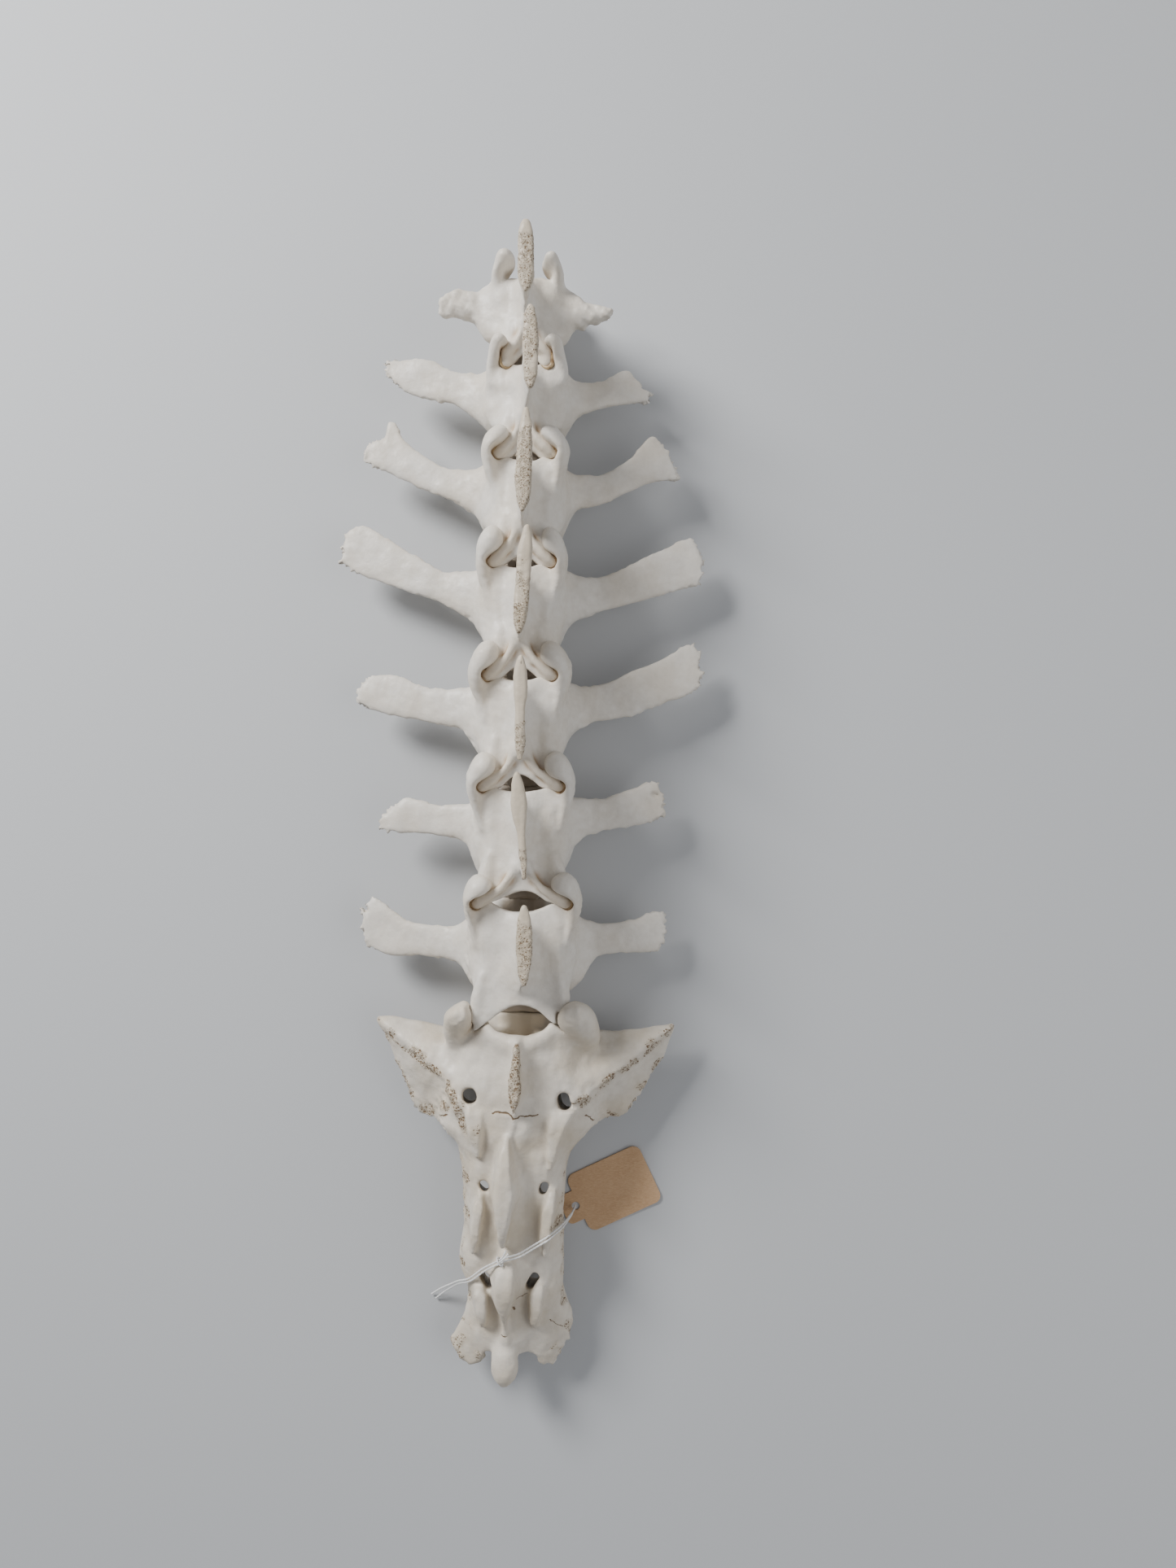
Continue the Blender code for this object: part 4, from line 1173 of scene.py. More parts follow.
    def build(self) -> bpy.types.Object:
        """Blends the skins, takes the surface, roughens it and makes the piece.

        Returns:
            The piece, which rides on the root body and stands for the CAD node of its name.
        """
        size = self.sizes
        spread = max(size.left[-1][0], size.right[-1][0]) + 3
        bone = BoneField((self.centre[0] - spread, self.back.y - 4, -1),
                         (self.centre[0] + spread, self.front.y + 20, size.crest_top + 2), self.step)
        bone.add(self.body(), 1.0)
        for side in Side:
            bone.add(self.wall(side), 2.5)
        bone.add(self.arch(), 2.4)
        bone.add(self.crest(), 5.0)
        for side in Side:
            bone.add(self.flat(side), 7.0)
            bone.add(self.shoulder(side), 4.0)
            bone.carve(self.back.lobe(side), gap=SIZES.clearance)
            bone.add(self.back.rod(side), 2.0)
            if self.back is not JOINTS[-1]:
                bone.add(self.back.spur(side), 2.8)
        for side in Side:
            bone.add(self.front.lobe(side), 1.6 if self.front is JOINTS[0] else 3.4)
            if self.front is not JOINTS[0]:
                bone.carve(self.front.rod(side), gap=SIZES.clearance)
                for lift in (0.0, 1.8, 3.6, 5.4):
                    bone.carve(self.front.spur(side, lift), gap=SIZES.clearance)
            self.broken_tip(bone, side)
        canal = ((self.back.x, self.back.y - 6, 25), (*self.centre, 25.2),
                 (self.front.x, self.front.y + 6, 25))
        bone.carve(tube(canal, (6.2, 5.6, 6.2), 28), 0.6 if self.back is JOINTS[-1] else 2.0)
        if self.back is not JOINTS[-1]:
            bone.add(self.lip(), 0.6)
        bone.cut_level()
        self.seams()
        return finish_bone(size.name, bone, self.marks, self.seed, self.material)

    def seams(self) -> None:
        """Makes the two beads at the rear joint as one piece, for all joints whose rods show."""
        if self.back is JOINTS[-1]:
            return
        beads = joined([self.back.seam(side) for side in Side])
        lift = 0.12 * Waves(self.seed + Noise.SEAM, 1.3).at(beads.points)[:, None]
        points = beads.points + lift * normals_of(beads.points, beads.quads)
        piece = make_piece(self.sizes.name + "_seam", points, beads.quads, {}, self.seam_material)
        dress(piece, self.sizes.name)


def inside_canal(points: Array, ways: Array, middle: Array, height: float, reach: float) -> Array:
    """1 where a surface near the canal's axis faces it, else 0.

    Args:
        points: Points of a bone.
        ways: Their outward directions.
        middle: x of the canal's axis beside each point.
        height: Height of the axis.
        reach: Distance from the axis at which the share is nought.

    Returns:
        One share for each point.
    """
    toward = np.column_stack([middle - points[:, 0], height - points[:, 2]])
    far = np.linalg.norm(toward, axis=1) + 1e-9
    facing = (toward * ways[:, [0, 2]]).sum(axis=1) / far
    return ramp(facing, 0.0, 0.35) * ramp(far, reach, reach - 1.5)


def distance_to_chain(points: Array, chain: Sequence[Station] | Array) -> Array:
    """How far points are from a chain of straight lines: the least distance to any of them, where the
    nearest place on a line is the projected share of its way, clamped to its ends.

    Args:
        points: The points.
        chain: The lines' ends, in order.

    Returns:
        One distance for each point.
    """
    nearest = np.full(len(points), np.inf)
    for start, end in zip(chain, chain[1:]):
        way = np.subtract(end, start)
        share = np.clip((points - start) @ way / (way @ way), 0, 1)
        nearest = np.minimum(nearest, np.linalg.norm(points - start - share[:, None] * way, axis=1))
    return nearest


def finish_bone(name: str, bone: BoneField, marks_at: Callable[[Array, Array, Array], dict[str, Array]],
                seed: int, material: bpy.types.Material | None) -> bpy.types.Object:
    """Takes the surface, moves it in and out a little, as grown and worn bone is, and makes the piece.

    In words: each point moves along its outward direction by long soft waves, by shorter ones where the
    bone is rough, and by the shortest where it is porous; a chipped rim moves inwards by the size of a
    wave, which leaves teeth. Points on the floor stay.

    Args:
        name: Name of the CAD node that the piece stands for.
        bone: The finished field.
        marks_at: Gives the marks for points, their outward directions and their hollowness.
        seed: Seed of the waves.
        material: The finish.

    Returns:
        The piece.
    """
    points, quads, hollow = bone.surface()
    ways = normals_of(points, quads)
    marks = marks_at(points, ways, hollow)
    lengths = {Noise.LONG: 11.0, Noise.SHORT: 4.2, Noise.SHORTEST: 1.7, Noise.TEETH: 3.6, Noise.CHIPS: 1.5}
    long, short, shortest, teeth, chips = (Waves(seed + noise, length).at(points)
                                           for noise, length in lengths.items())
    rough, porous = marks["rough"], marks["porous"]
    lift = 0.13 * long
    lift += (0.03 + 0.22 * rough) * short
    lift += (0.012 + np.maximum(0.1 * porous, 0.05 * rough)) * shortest
    lift -= marks["chipped"] * (0.8 * abs(teeth) - 0.35 * chips - 0.3)
    free = ramp(points[:, 2], 0.05, 1.5)
    points = points + ways * (lift * free)[:, None]
    points[:, 2] = np.maximum(points[:, 2], 0.0)
    return dress(make_piece(name + "_bone", points, quads, marks, material), name)


@dataclass
class Sacrum:
    """The sacrum: four fused bodies under a vaulted roof, two wings, crests, openings and a blunt end."""

    seed: int
    step: float = 0.6
    joint: Joint = JOINTS[-1]
    material: bpy.types.Material | None = None
    name: str = "sacrum"
    # Stations of (y, half width, underside, top) for the fused bodies.
    bodies: Stations = (
        (-64.58, 13.2, 0.4, 20.1), (-65.2, 14.0, -0.5, 20.3), (-68, 13.8, -0.5, 20.0),
        (-75, 12.0, 1.8, 20.0), (-96, 13.0, 3.4, 19.5), (-118, 10.5, 5.6, 19.0), (-140, 9.5, 5.2, 17.5),
        (-158, 9.0, 3.2, 15.5), (-174, 7.6, 0.6, 13.5), (-181, 5.6, -0.4, 12.6), (-187, 4.6, -0.6, 12.0),
    )
    # Stations of (y, left edge, right edge, edge height, roof height, underside).
    roof: Stations = (
        (-70.5, -17, 16, 22, 33, 14), (-80, -22, 21, 18, 33.5, 11), (-92, -27, 25, 17, 33, 10),
        (-102, -29, 26, 16, 31, 10), (-111, -22.6, 19, 15.5, 31, 9), (-120, -21.1, 15.6, 15, 30.5, 9),
        (-136, -20.4, 14.7, 14, 28.5, 8), (-152, -22.2, 14.6, 13, 26, 7), (-166, -19, 14.4, 11, 23, 4),
        (-177, -19.4, 15.2, 9, 20, 3), (-180.5, -18.6, 13.8, 9.5, 18.4, 4),
        (-184.2, -15.5, 10.5, 10, 15.6, 7),
    )
    # Stations of (distance from x = 0, front edge, its height, ridge, its height, back edge, its height).
    wing_left: Stations = (
        (10, -71, 14, -93, 29, -101, 22), (20, -71, 15, -93, 29, -101.5, 20),
        (26, -70.6, 15, -86.5, 26.5, -101.5, 17), (35, -69.2, 15, -78.3, 23.5, -102, 14),
        (39, -68.4, 15, -75.5, 22, -97.5, 13.5), (44, -67.2, 15, -72.2, 20.3, -84.5, 13.5),
        (48, -66.7, 15, -69.3, 18.5, -75, 14), (51.5, -66.6, 15.5, -67.3, 16.5, -68.5, 15.5),
    )
    wing_right: Stations = (
        (10, -71, 14, -92, 29, -101, 22), (20, -72, 15, -92.3, 29, -101.5, 20),
        (26.4, -72, 15, -89, 26.5, -102.3, 17), (31, -72.2, 15, -85.5, 25, -102.8, 14.5),
        (36.5, -72, 15, -81.4, 23.5, -101.5, 14), (44, -71, 15, -76, 20.5, -90.5, 13.5),
        (50, -69.7, 15, -71.5, 18, -81, 14), (53.5, -69.3, 15.5, -70.2, 16.5, -71.5, 15.5),
    )
    # Ridges of (x, y, height, half width), each with the depth of its root: two on the middle line, three
    # pairs from the front backwards, the worn wedge beside the first left opening, and a fine middle line.
    ridges: tuple[tuple[Stations, float], ...] = (
        (((-4.4, -103.5, 34.0, 0.7), (-4.7, -108.7, 36.8, 2.0), (-4.9, -116.7, 38.2, 2.9),
          (-5.1, -122.7, 38.4, 3.4), (-5.4, -130.7, 37.8, 2.4), (-5.7, -137, 35.4, 1.6),
          (-5.8, -142, 32, 0.8)), 10.0),
        (((-5.1, -145.2, 29.4, 1.3), (-5.2, -147.8, 30.0, 2.6), (-5.3, -150.2, 32.0, 3.1),
          (-5.3, -155, 33.0, 3.4), (-5.4, -160.3, 31.8, 3.3), (-5.6, -165.5, 29.0, 1.7),
          (-5.7, -170, 26.0, 1.0), (-5.6, -174, 23.8, 0.9), (-5.6, -179, 21.5, 1.0)), 9.0),
        (((-15.8, -93.6, 31.5, 2.4), (-15.2, -96.5, 33.0, 3.4), (-15.0, -101.6, 33.3, 2.8),
          (-14.7, -107, 32.3, 1.6), (-14.4, -112, 30.5, 0.6)), 9.0),
        (((14.6, -95.5, 32.5, 4.6), (13.0, -100, 33.2, 3.7), (11.5, -107, 32.6, 2.3),
          (10.3, -116.5, 30.3, 0.6)), 9.0),
        (((-13.4, -124.5, 28.5, 0.9), (-14.4, -131, 30.2, 1.9), (-15.3, -137, 30.2, 1.8),
          (-16.4, -146, 28, 0.6)), 8.0),
        (((11.0, -124, 28.4, 1.2), (9.7, -131, 30.3, 2.1), (8.8, -138, 30.2, 1.9),
          (8.3, -147.6, 27.8, 0.6)), 8.0),
        (((-14.8, -158.5, 24.4, 1.3), (-14.1, -162, 25.6, 2.0), (-13.6, -167, 25.6, 1.9),
          (-13.3, -171, 24.2, 1.5), (-13.4, -174, 21.6, 0.9)), 7.0),
        (((6.4, -158, 24.4, 1.5), (5.3, -162, 25.8, 2.1), (5.0, -167, 25.6, 2.0),
          (4.8, -171, 24.2, 1.6), (4.9, -174, 21.6, 0.9)), 7.0),
        (((-23.6, -90.5, 28.5, 1.6), (-21.0, -96, 28.5, 2.2), (-18.6, -102.5, 28, 0.8)), 6.0),
        (((-2.2, -97.6, 33.6, 0.5), (-2.4, -101, 33.5, 0.45), (-3.4, -104.5, 33.0, 0.4)), 2.0),
    )
    # The flat plate behind the first roof, as one broad low ridge.
    plate: Stations = (
        (-2.0, -95.6, 33.0, 7.4), (-2.3, -99, 32.9, 7.0), (-3.0, -104, 32.2, 5.6), (-4.0, -111, 30.6, 3.0),
    )
    # The two end plates beside the club, in rows as for a flat process.
    end_left: Stations = (
        (0.5, -168, -183.0), (3, -168, -183.6), (7.4, -168, -184.4), (8.3, -168, -186.8),
        (9.6, -168, -188.4), (11, -169, -190.2), (14, -172, -191.2), (19, -178, -190.2),
        (21.5, -182.4, -186.6),
    )
    end_right: Stations = (
        (0.5, -168, -183.6), (3, -168, -184.2), (7, -168, -185.2), (9.2, -168, -186.6),
        (9.9, -168, -190.2), (14, -168, -192.2), (17.4, -168, -191.4), (19.8, -170, -189.4),
        (21.3, -174, -187.2),
    )
    # The three pairs of openings: two ends of the slot on top, shift of its bottom, radius above and below.
    openings: tuple[tuple[Station, Station, Station, float, float], ...] = (
        ((-16.8, -89.7), (-16.8, -90.4), (-2.3, -6.2), 2.4, 3.4),
        ((14.6, -91.0), (14.8, -92.4), (2.4, -6.5), 2.2, 3.4),
        ((-12.3, -119.9), (-11.5, -121.1), (-2.0, -9.0), 1.15, 2.1),
        ((8.0, -120.6), (7.3, -122.2), (1.2, -9.0), 1.15, 2.2),
        ((-12.0, -153.4), (-10.6, -156.2), (-1.5, -6.0), 1.4, 2.0),
        ((4.4, -153.7), (2.7, -156.6), (1.3, -6.0), 1.5, 2.0),
    )
    # Round cuts that make the arched notches between the end plates and the club: (x, y, radius).
    notches: Stations = ((-12.0, -186.2, 1.6), (-10.6, -188.6, 1.8), (1.2, -187.6, 2.4), (3.2, -188.0, 2.2))
    # The club at the tail, with its radii.
    club: Stations = (
        (-5.6, -176.5, 18.5), (-5.7, -179.5, 18.3), (-5.9, -183.2, 18.2), (-6.0, -187.5, 18.2),
        (-6.1, -190.5, 18.0), (-6.1, -192.6, 17.7), (-6.1, -194.3, 17.4), (-6.1, -195.6, 17.3),
        (-6.1, -196.5, 17.2),
    )
    club_radii: Station = (2.0, 2.8, 4.2, 4.75, 4.5, 3.95, 3.1, 2.0, 0.5)
    # Broken rims of the end plates: start, end and how far they reach.
    broken_rims: tuple[tuple[Station, Station, float], ...] = (
        ((-19.6, -178.3, 12.0), (-25.0, -182.8, 11.0), 1.9),
        ((17.4, -178.8, 12.0), (17.4, -184.0, 11.0), 1.9),
    )
    # Worn patches of the side borders: (x, y, radius).
    worn_patches: Stations = (
        (-19.6, -121.0, 3.2), (-20.2, -133.5, 4.0), (-21.0, -152.0, 2.6), (-19.0, -164.3, 2.8),
        (12.4, -136.3, 3.2), (14.8, -167.5, 2.2), (-26.5, -96.0, 3.0), (22.5, -92.5, 2.6),
    )

    @staticmethod
    def middle(y: Array) -> Array:
        """x of the middle line at y, which drifts to the left towards the tail."""
        return np.interp(-y, (60, 100, 140, 190), (0.2, -1.5, -3.2, -4.6))

    def body(self) -> Skin:
        """The fused bodies, as one keeled body."""
        return keeled_body(self.bodies, self.middle, 120, 48)

    def vault(self) -> Skin:
        """The fused arches and side masses: a flattened sine above the edges and a fuller one below.

        Returns:
            The skin.
        """
        y, left, right, edge, top, low = columns(self.roof, 110)
        turn = np.linspace(0, math.pi, 30)[None, :]
        across = np.concatenate([np.cos(turn), -np.cos(turn[:, 1:-1])], axis=1)
        above = between(edge, top, np.sin(turn) ** 0.8)
        above = above - 1.7 * bell(abs(np.cos(turn)) - 0.3, 0.2) * ramp(-y, 100, 112)
        below = between(edge, low, np.sin(turn[:, 1:-1]) ** 0.5)
        x = (left + right) / 2 + across * (right - left) / 2
        return sections(x, y, np.concatenate([above, below], axis=1))

    def first_roof(self) -> Skin:
        """The roof of the first segment, with a raised rim along its hollowed front edge.

        Returns:
            The skin.
        """
        joint = self.joint
        middle_y, corner_y = joint.front_edge
        corner_x = joint.rear_edge[1]
        share, half, low, high = columns((
            (0.0, 11.6, 27.0, 33.6), (0.06, 13.0, 26.0, 35.0), (0.12, 14.2, 25.0, 35.0),
            (0.24, 16.5, 23.0, 33.8), (0.5, 19.5, 20.0, 33.2), (0.8, 20.0, 19.0, 33.6),
            (1.0, 17.0, 19.0, 33.3),
        ), 40)
        turn = np.linspace(0, math.pi, 40)[None, :]
        across = out_and_back(np.cos(turn), 0.8 * np.cos(turn)) * half
        valley = 1.2 * bell(abs(np.cos(turn)) - 0.5, 0.25) * ramp(share, 0.1, 0.4)
        outer = between(low, high, np.sin(turn) ** 0.45) - valley
        inner = low - 1.0 + (high - low - 3.4) * np.sin(turn) ** 0.7
        fore = joint.y + between(middle_y, corner_y, np.clip(abs(across) / corner_x, 0, 1.1) ** 2)
        fore = fore + 0.9 * bell(across, 0.9)
        y = between(fore, -96.2 + 0.5 * np.cos(across * 0.9), share)
        return sections(self.middle(y) + across, y, out_and_back(outer, inner))

    def wing(self, side: Side) -> Skin:
        """A wing: a rounded strip in front of a ridge, and a lower flat facet behind it.

        In words: each section runs from the front edge over a bulge to the ridge, drops by 0.4 mm at the
        tip and up to 3 mm at the root, runs on to the back edge, and returns along the underside.

        Args:
            side: Which side of the animal.

        Returns:
            The skin.
        """
        stations = self.wing_left if side is Side.LEFT else self.wing_right
        reach, front, front_z, top, top_z, back, back_z = columns(stations, 60)
        share = (reach - reach[0]) / (reach[-1] - reach[0])
        low = between(8.0, 13.0, share)
        below = top_z - 2.6 * (1 - share) * np.clip((top - back) / 6, 0, 1) - 0.4
        places = (
            (front, (front_z + low) / 2), (front, front_z),
            (between(front, top, 0.35), between(front_z, top_z, 0.62)),
            (between(front, top, 0.72), between(front_z, top_z, 0.94)), (top, top_z),
            (between(top, back, 0.12), below), (between(top, back, 0.5), (below + back_z) / 2 + 0.3),
            (back, back_z), (back + 0.6, low), (between(back, front, 0.35), low - 0.5),
            (between(back, front, 0.65), low - 0.5), (front - 0.6, low),
        )
        y, z = (np.concatenate(column, axis=1) for column in zip(*places))
        return sections(side.value * reach, y, z)

    def marks(self, points: Array, ways: Array, hollow: Array) -> dict[str, Array]:
        """Where the finish changes, as shares from 0 to 1, under the same names as a vertebra's.

        Args:
            points: The bone's points.
            ways: Their outward directions.
            hollow: Their hollowness.

        Returns:
            The shares by name.
        """
        x, y, z = points.T
        patchy = 0.5 + 0.5 * Waves(self.seed + Noise.PATCHES, 6.0).at(points)
        porous = ramp(z, 38.2, 39.6) * ramp(abs(x + 0.6), 6.0, 4.5)
        for stations, side in ((self.wing_left, Side.LEFT), (self.wing_right, Side.RIGHT)):
            top = [(side.value * row[0], row[3] - 1.5, row[4]) for row in stations[1:]]
            near = distance_to_chain(points, top)
            porous = np.maximum(porous, np.clip(1.2 * patchy, 0, 1) * ramp(near, 4.2, 1.4))
            out = side.value * x
            edge = np.interp(out, *np.array(stations)[:, [0, 5]].T)
            facet = ramp(y, edge + 8.0, edge + 2.0) * ramp(out, 28.0, 31.0) * ramp(ways[:, 2], -0.2, 0.3)
            porous = np.maximum(porous, ramp(patchy, 0.2, 0.7) * facet)
        *pairs, (wedge, _), _ = self.ridges[2:]
        for tops, amount in (*((tops, 0.45 * patchy) for tops, _ in pairs), (wedge, 1.0)):
            near = distance_to_chain(points, [top[:3] for top in tops])
            porous = np.maximum(porous, amount * ramp(near, 3.0, 1.2))
        along, left, right = np.array(self.roof).T[:3]
        left, right = (np.interp(-y, -along, edge) for edge in (left, right))
        border = np.maximum(ramp(x, left + 3.0, left + 0.5), ramp(x, right - 3.0, right - 0.5))
        porous = np.maximum(porous, 0.7 * border * ramp(-y, 106, 112) * ramp(patchy, 0.45, 0.8))
        for across, along, radius in self.worn_patches:
            near = np.hypot(x - across, y - along)
            porous = np.maximum(porous, ramp(near, radius, 0.4 * radius) * ramp(ways[:, 2], -0.1, 0.3))
        for start, end, reach in self.broken_rims:
            near = distance_to_chain(points, (start, end))
            porous = np.maximum(porous, ramp(near, reach, 0.5 * reach))
        stain, glue = np.zeros(len(x)), np.zeros(len(x))
        for side in Side:
            near = distance_to_chain(points, self.joint.spur_line(side)[-3:])
            stain = np.maximum(stain, 0.5 * bell(np.clip(near - 1.4, 0, None), 1.8))
        # The canal mark here covers only the floor under the opening between the last vertebra and the
        # sacrum, which the sacral finish paints as painted light.
        canal = inside_canal(points, ways, self.middle(y), 25.0, 11.0) * ramp(y, -84, -76)
        rough = 0.16 * ramp(-y, 66, 80)
        rough = np.maximum(rough, 0.9 * ramp(z, 36, 38) * ramp(abs(x), 11.0, 13.0) * ramp(y, -74, -72))
        rough = np.maximum(rough, 0.7 * porous * ramp(z, 38.0, 36.0))
        worn = np.maximum(0.6 * ramp(z, 37.5, 39.5) * ramp(abs(x + 0.6), 6.0, 4.5), 0.5 * porous)
        chipped = 0.5 * ramp(abs(x), 24, 27) * ramp(abs(ways[:, 2]), 0.8, 0.4) * ramp(-y, 84, 90)
        return {"porous": np.clip(porous, 0, 1), "worn": worn, "stain": stain, "glue": glue, "canal": canal,
                "hollow": hollow, "rough": rough, "chipped": chipped}

    def jagged_ends(self, bone: BoneField) -> None:
        """Chips the outer and rear rims of the two end plates.

        In words: away from the club, bone ends where its distance from the point (x -4.6, y -174) passes
        23.6 mm on the left and 23.8 mm on the right, less the sizes of two noises, and behind y -192
        plus the same sizes.

        Args:
            bone: The bone, which is changed.
        """
        rough, fine = Waves(self.seed + Noise.RIM, 8.0), Waves(self.seed + Noise.RIM_FINE, 2.2)

        def level(places: Array) -> Array:
            """Distance beyond the chipped rim.

            Args:
                places: Points of the grid.

            Returns:
                One distance for each.
            """
            across, along = places[..., 0] + 4.6, places[..., 1] + 174.0
            flat = places * np.array((1, 1, 0.4), np.float32)
            far = np.hypot(across, along)
            teeth = 0.7 * abs(rough.at(flat)) + 0.8 * abs(fine.at(flat))
            rim = np.where(across < 0, 23.6, 23.8) - teeth
            outside = np.maximum(far - rim, teeth - 18.0 - along)
            return np.where(abs(across) > 7.5, outside, -1.0).astype(np.float32)

        bone.keep((-34, -200, -2), (26, -172, 24), level)

    def build(self) -> bpy.types.Object:
        """Blends the skins, opens the canal and the openings, and makes the piece.

        Returns:
            The piece.
        """
        bone = BoneField((-56, -200, -1), (58, -54, 44), self.step)
        bone.add(self.body(), 1.0)
        bone.add(self.vault(), 3.0)
        bone.add(self.first_roof(), 3.0)
        for side in Side:
            bone.add(self.wing(side), 5.0)
            bone.add(self.joint.lobe(side), 4.5)
            bone.carve(self.joint.rod(side), gap=SIZES.clearance)
        last_free = Vertebra(VERTEBRAE[-1], JOINTS[-2], JOINTS[-1], seed=0)
        bone.carve(last_free.arch(), gap=0.12)
        blade = upright_blade((-71.0, -96), (-70.6, -95.2), (0.2, -1.4), (30, 41),
                              ((0, 3.2), (0.3, 2.1), (0.8, 2.3), (1, 2.0)), -0.6,
                              ((0, 0.15), (0.2, 0.9), (0.4, 1.0), (0.75, 0.6), (1, 0.4)))
        bone.add(blade, 4.0)
        bone.add(ridge(self.plate, 2.6), 2.0)
        for tops, depth in self.ridges:
            bone.add(ridge(tops, depth), 1.5)
        end_middle = float(self.middle(-180.0))
        for side, stations in ((Side.LEFT, self.end_left), (Side.RIGHT, self.end_right)):
            bone.add(flat_process(stations, side, end_middle, 0.0, (14.0, 11.0), (4.0, 2.2, 1.5)), 6.5)
        for x, y, radius in self.notches:
            bone.carve(tube(((x, y, 24), (x, y, -2)), (radius, radius), 24), 0.5)
        bone.add(tube(self.club, self.club_radii), 1.5)
        canal = ((0.2, -60, 25.5), (-0.6, -80, 25), (-1.8, -105, 24), (-3.0, -135, 22), (-4.2, -165, 16),
                 (-4.6, -180, 11.5), (-4.8, -195, 10))
        bone.carve(tube(canal, (6.5, 6.2, 4.8, 3.8, 2.8, 2.2, 2.2), 28), 0.6)
        chamber = ((-6.4, -66.5, 27.4), (0.2, -66.5, 26.2), (6.8, -66.5, 27.4))
        bone.carve(tube(chamber, (4.6, 5.8, 4.6), 28), 0.8)
        for first, second, shift, narrow, wide in self.openings:
            for place in (first, np.add(first, second) / 2, second):
                bone.carve(tube(((*place, 34), (*np.add(place, shift), 0)), (narrow, wide), 24), 0.5)
        bone.cut_level()
        self.jagged_ends(bone)
        return finish_bone(self.name, bone, self.marks, self.seed, self.material)


# The tag and its string


@dataclass
class Tag:
    """The bare card tag: a rounded rectangle with a narrower neck, punched for its string."""

    length: float = 35.0
    width: float = 22.4
    neck: float = 11.2
    neck_length: float = 6.0
    corner: float = 3.0
    neck_corner: float = 2.0
    hole: float = 1.5
    hole_inset: float = 5.0
    thickness: float = 0.6
    end: tuple[float, float] = (45.9, -126.4)
    angle: float = math.radians(25)
    material: bpy.types.Material | None = None

    def turned(self, along: Array, across: Array) -> tuple[Array, Array]:
        """x and y of places given from the end of the card, along it and across it."""
        x = self.end[0] + along * math.cos(self.angle) - across * math.sin(self.angle)
        return x, self.end[1] + along * math.sin(self.angle) + across * math.cos(self.angle)

    def half_width(self, along: Array) -> Array:
        """Half the card's width at a distance from its neck's end: a level line with quarter circles at
        its corners, once for the neck and once for the rest.

        Args:
            along: Distance from the neck's end.

        Returns:
            Half the width there.
        """
        def rounded(from_end: Array, half: float, radius: float) -> Array:
            """Half width near one end."""
            inside = np.clip(from_end, 0, radius)
            return half - radius + np.sqrt(np.clip(radius**2 - (radius - inside) ** 2, 0, None))

        neck = rounded(along, self.neck / 2, self.neck_corner)
        front = rounded(along - self.neck_length, self.width / 2, self.corner)
        rear = rounded(self.length - along, self.width / 2, self.corner)
        return np.where(along < self.neck_length, neck, np.minimum(front, rear))

    def build(self) -> bpy.types.Object:
        """The card as a grid of (distance along, share across) on its two faces, sewn at the rim.

        Returns:
            The piece, with its hole cut and its edges softened.
        """
        corner = self.corner * (1 - np.cos(np.linspace(0, math.pi / 2, 9)))
        small = self.neck_corner * (1 - np.cos(np.linspace(0, math.pi / 2, 7)))
        rows = np.concatenate([
            small, np.linspace(small[-1], self.neck_length - 0.02, 5)[1:], self.neck_length + corner,
            np.linspace(self.neck_length + self.corner, self.length - self.corner, 30)[1:-1],
            (self.length - corner)[::-1],
        ])
        across = self.half_width(rows)[:, None] * np.linspace(-1, 1, 41)
        along = rows[:, None]
        curl = 0.35 * (across / (self.width / 2)) ** 2 * ramp(along, 8, 30) + 0.25 * ramp(along, 26, 35) ** 2
        wave = 0.03 * np.sin(along / 3.1 + across / 4.0)
        low = np.stack([*self.turned(along - self.length, across), np.clip(curl + wave, 0, None)], axis=-1)
        high = low + (0, 0, self.thickness)
        skin = loft(out_and_back(high, low))
        piece = make_piece("tag_card", skin.points, skin.quads[:, ::-1], {}, self.material)
        self.punch(piece)
        return dress(piece, "tag")

    def punch(self, piece: bpy.types.Object) -> None:
        """Cuts the string's hole and softens the card's edges.

        Args:
            piece: The card, which is changed.
        """
        x, y = self.turned(self.hole_inset - self.length, 0.0)
        turn = np.linspace(0, 2 * math.pi, 48, endpoint=False)
        skin = sections(x + self.hole * np.cos(turn), y + self.hole * np.sin(turn), np.array([[-2.0], [4.0]]))
        cutter = make_piece("punch", skin.points, skin.quads, {}, self.material)
        for thing in (cutter, piece):
            weld(thing.data)
        cut = piece.modifiers.new("hole", "BOOLEAN")
        cut.operation, cut.solver, cut.object = "DIFFERENCE", "EXACT", cutter
        soft = piece.modifiers.new("soft edge", "BEVEL")
        soft.width, soft.segments = 0.12 * MM, 2
        soft.limit_method, soft.angle_limit = "ANGLE", math.radians(50)
        graph = bpy.context.evaluated_depsgraph_get()
        made = bpy.data.meshes.new_from_object(piece.evaluated_get(graph))
        piece.modifiers.clear()
        piece.data = made
        made.shade_smooth()
        made.set_sharp_from_angle(angle=math.radians(45))
        bpy.data.objects.remove(cutter)


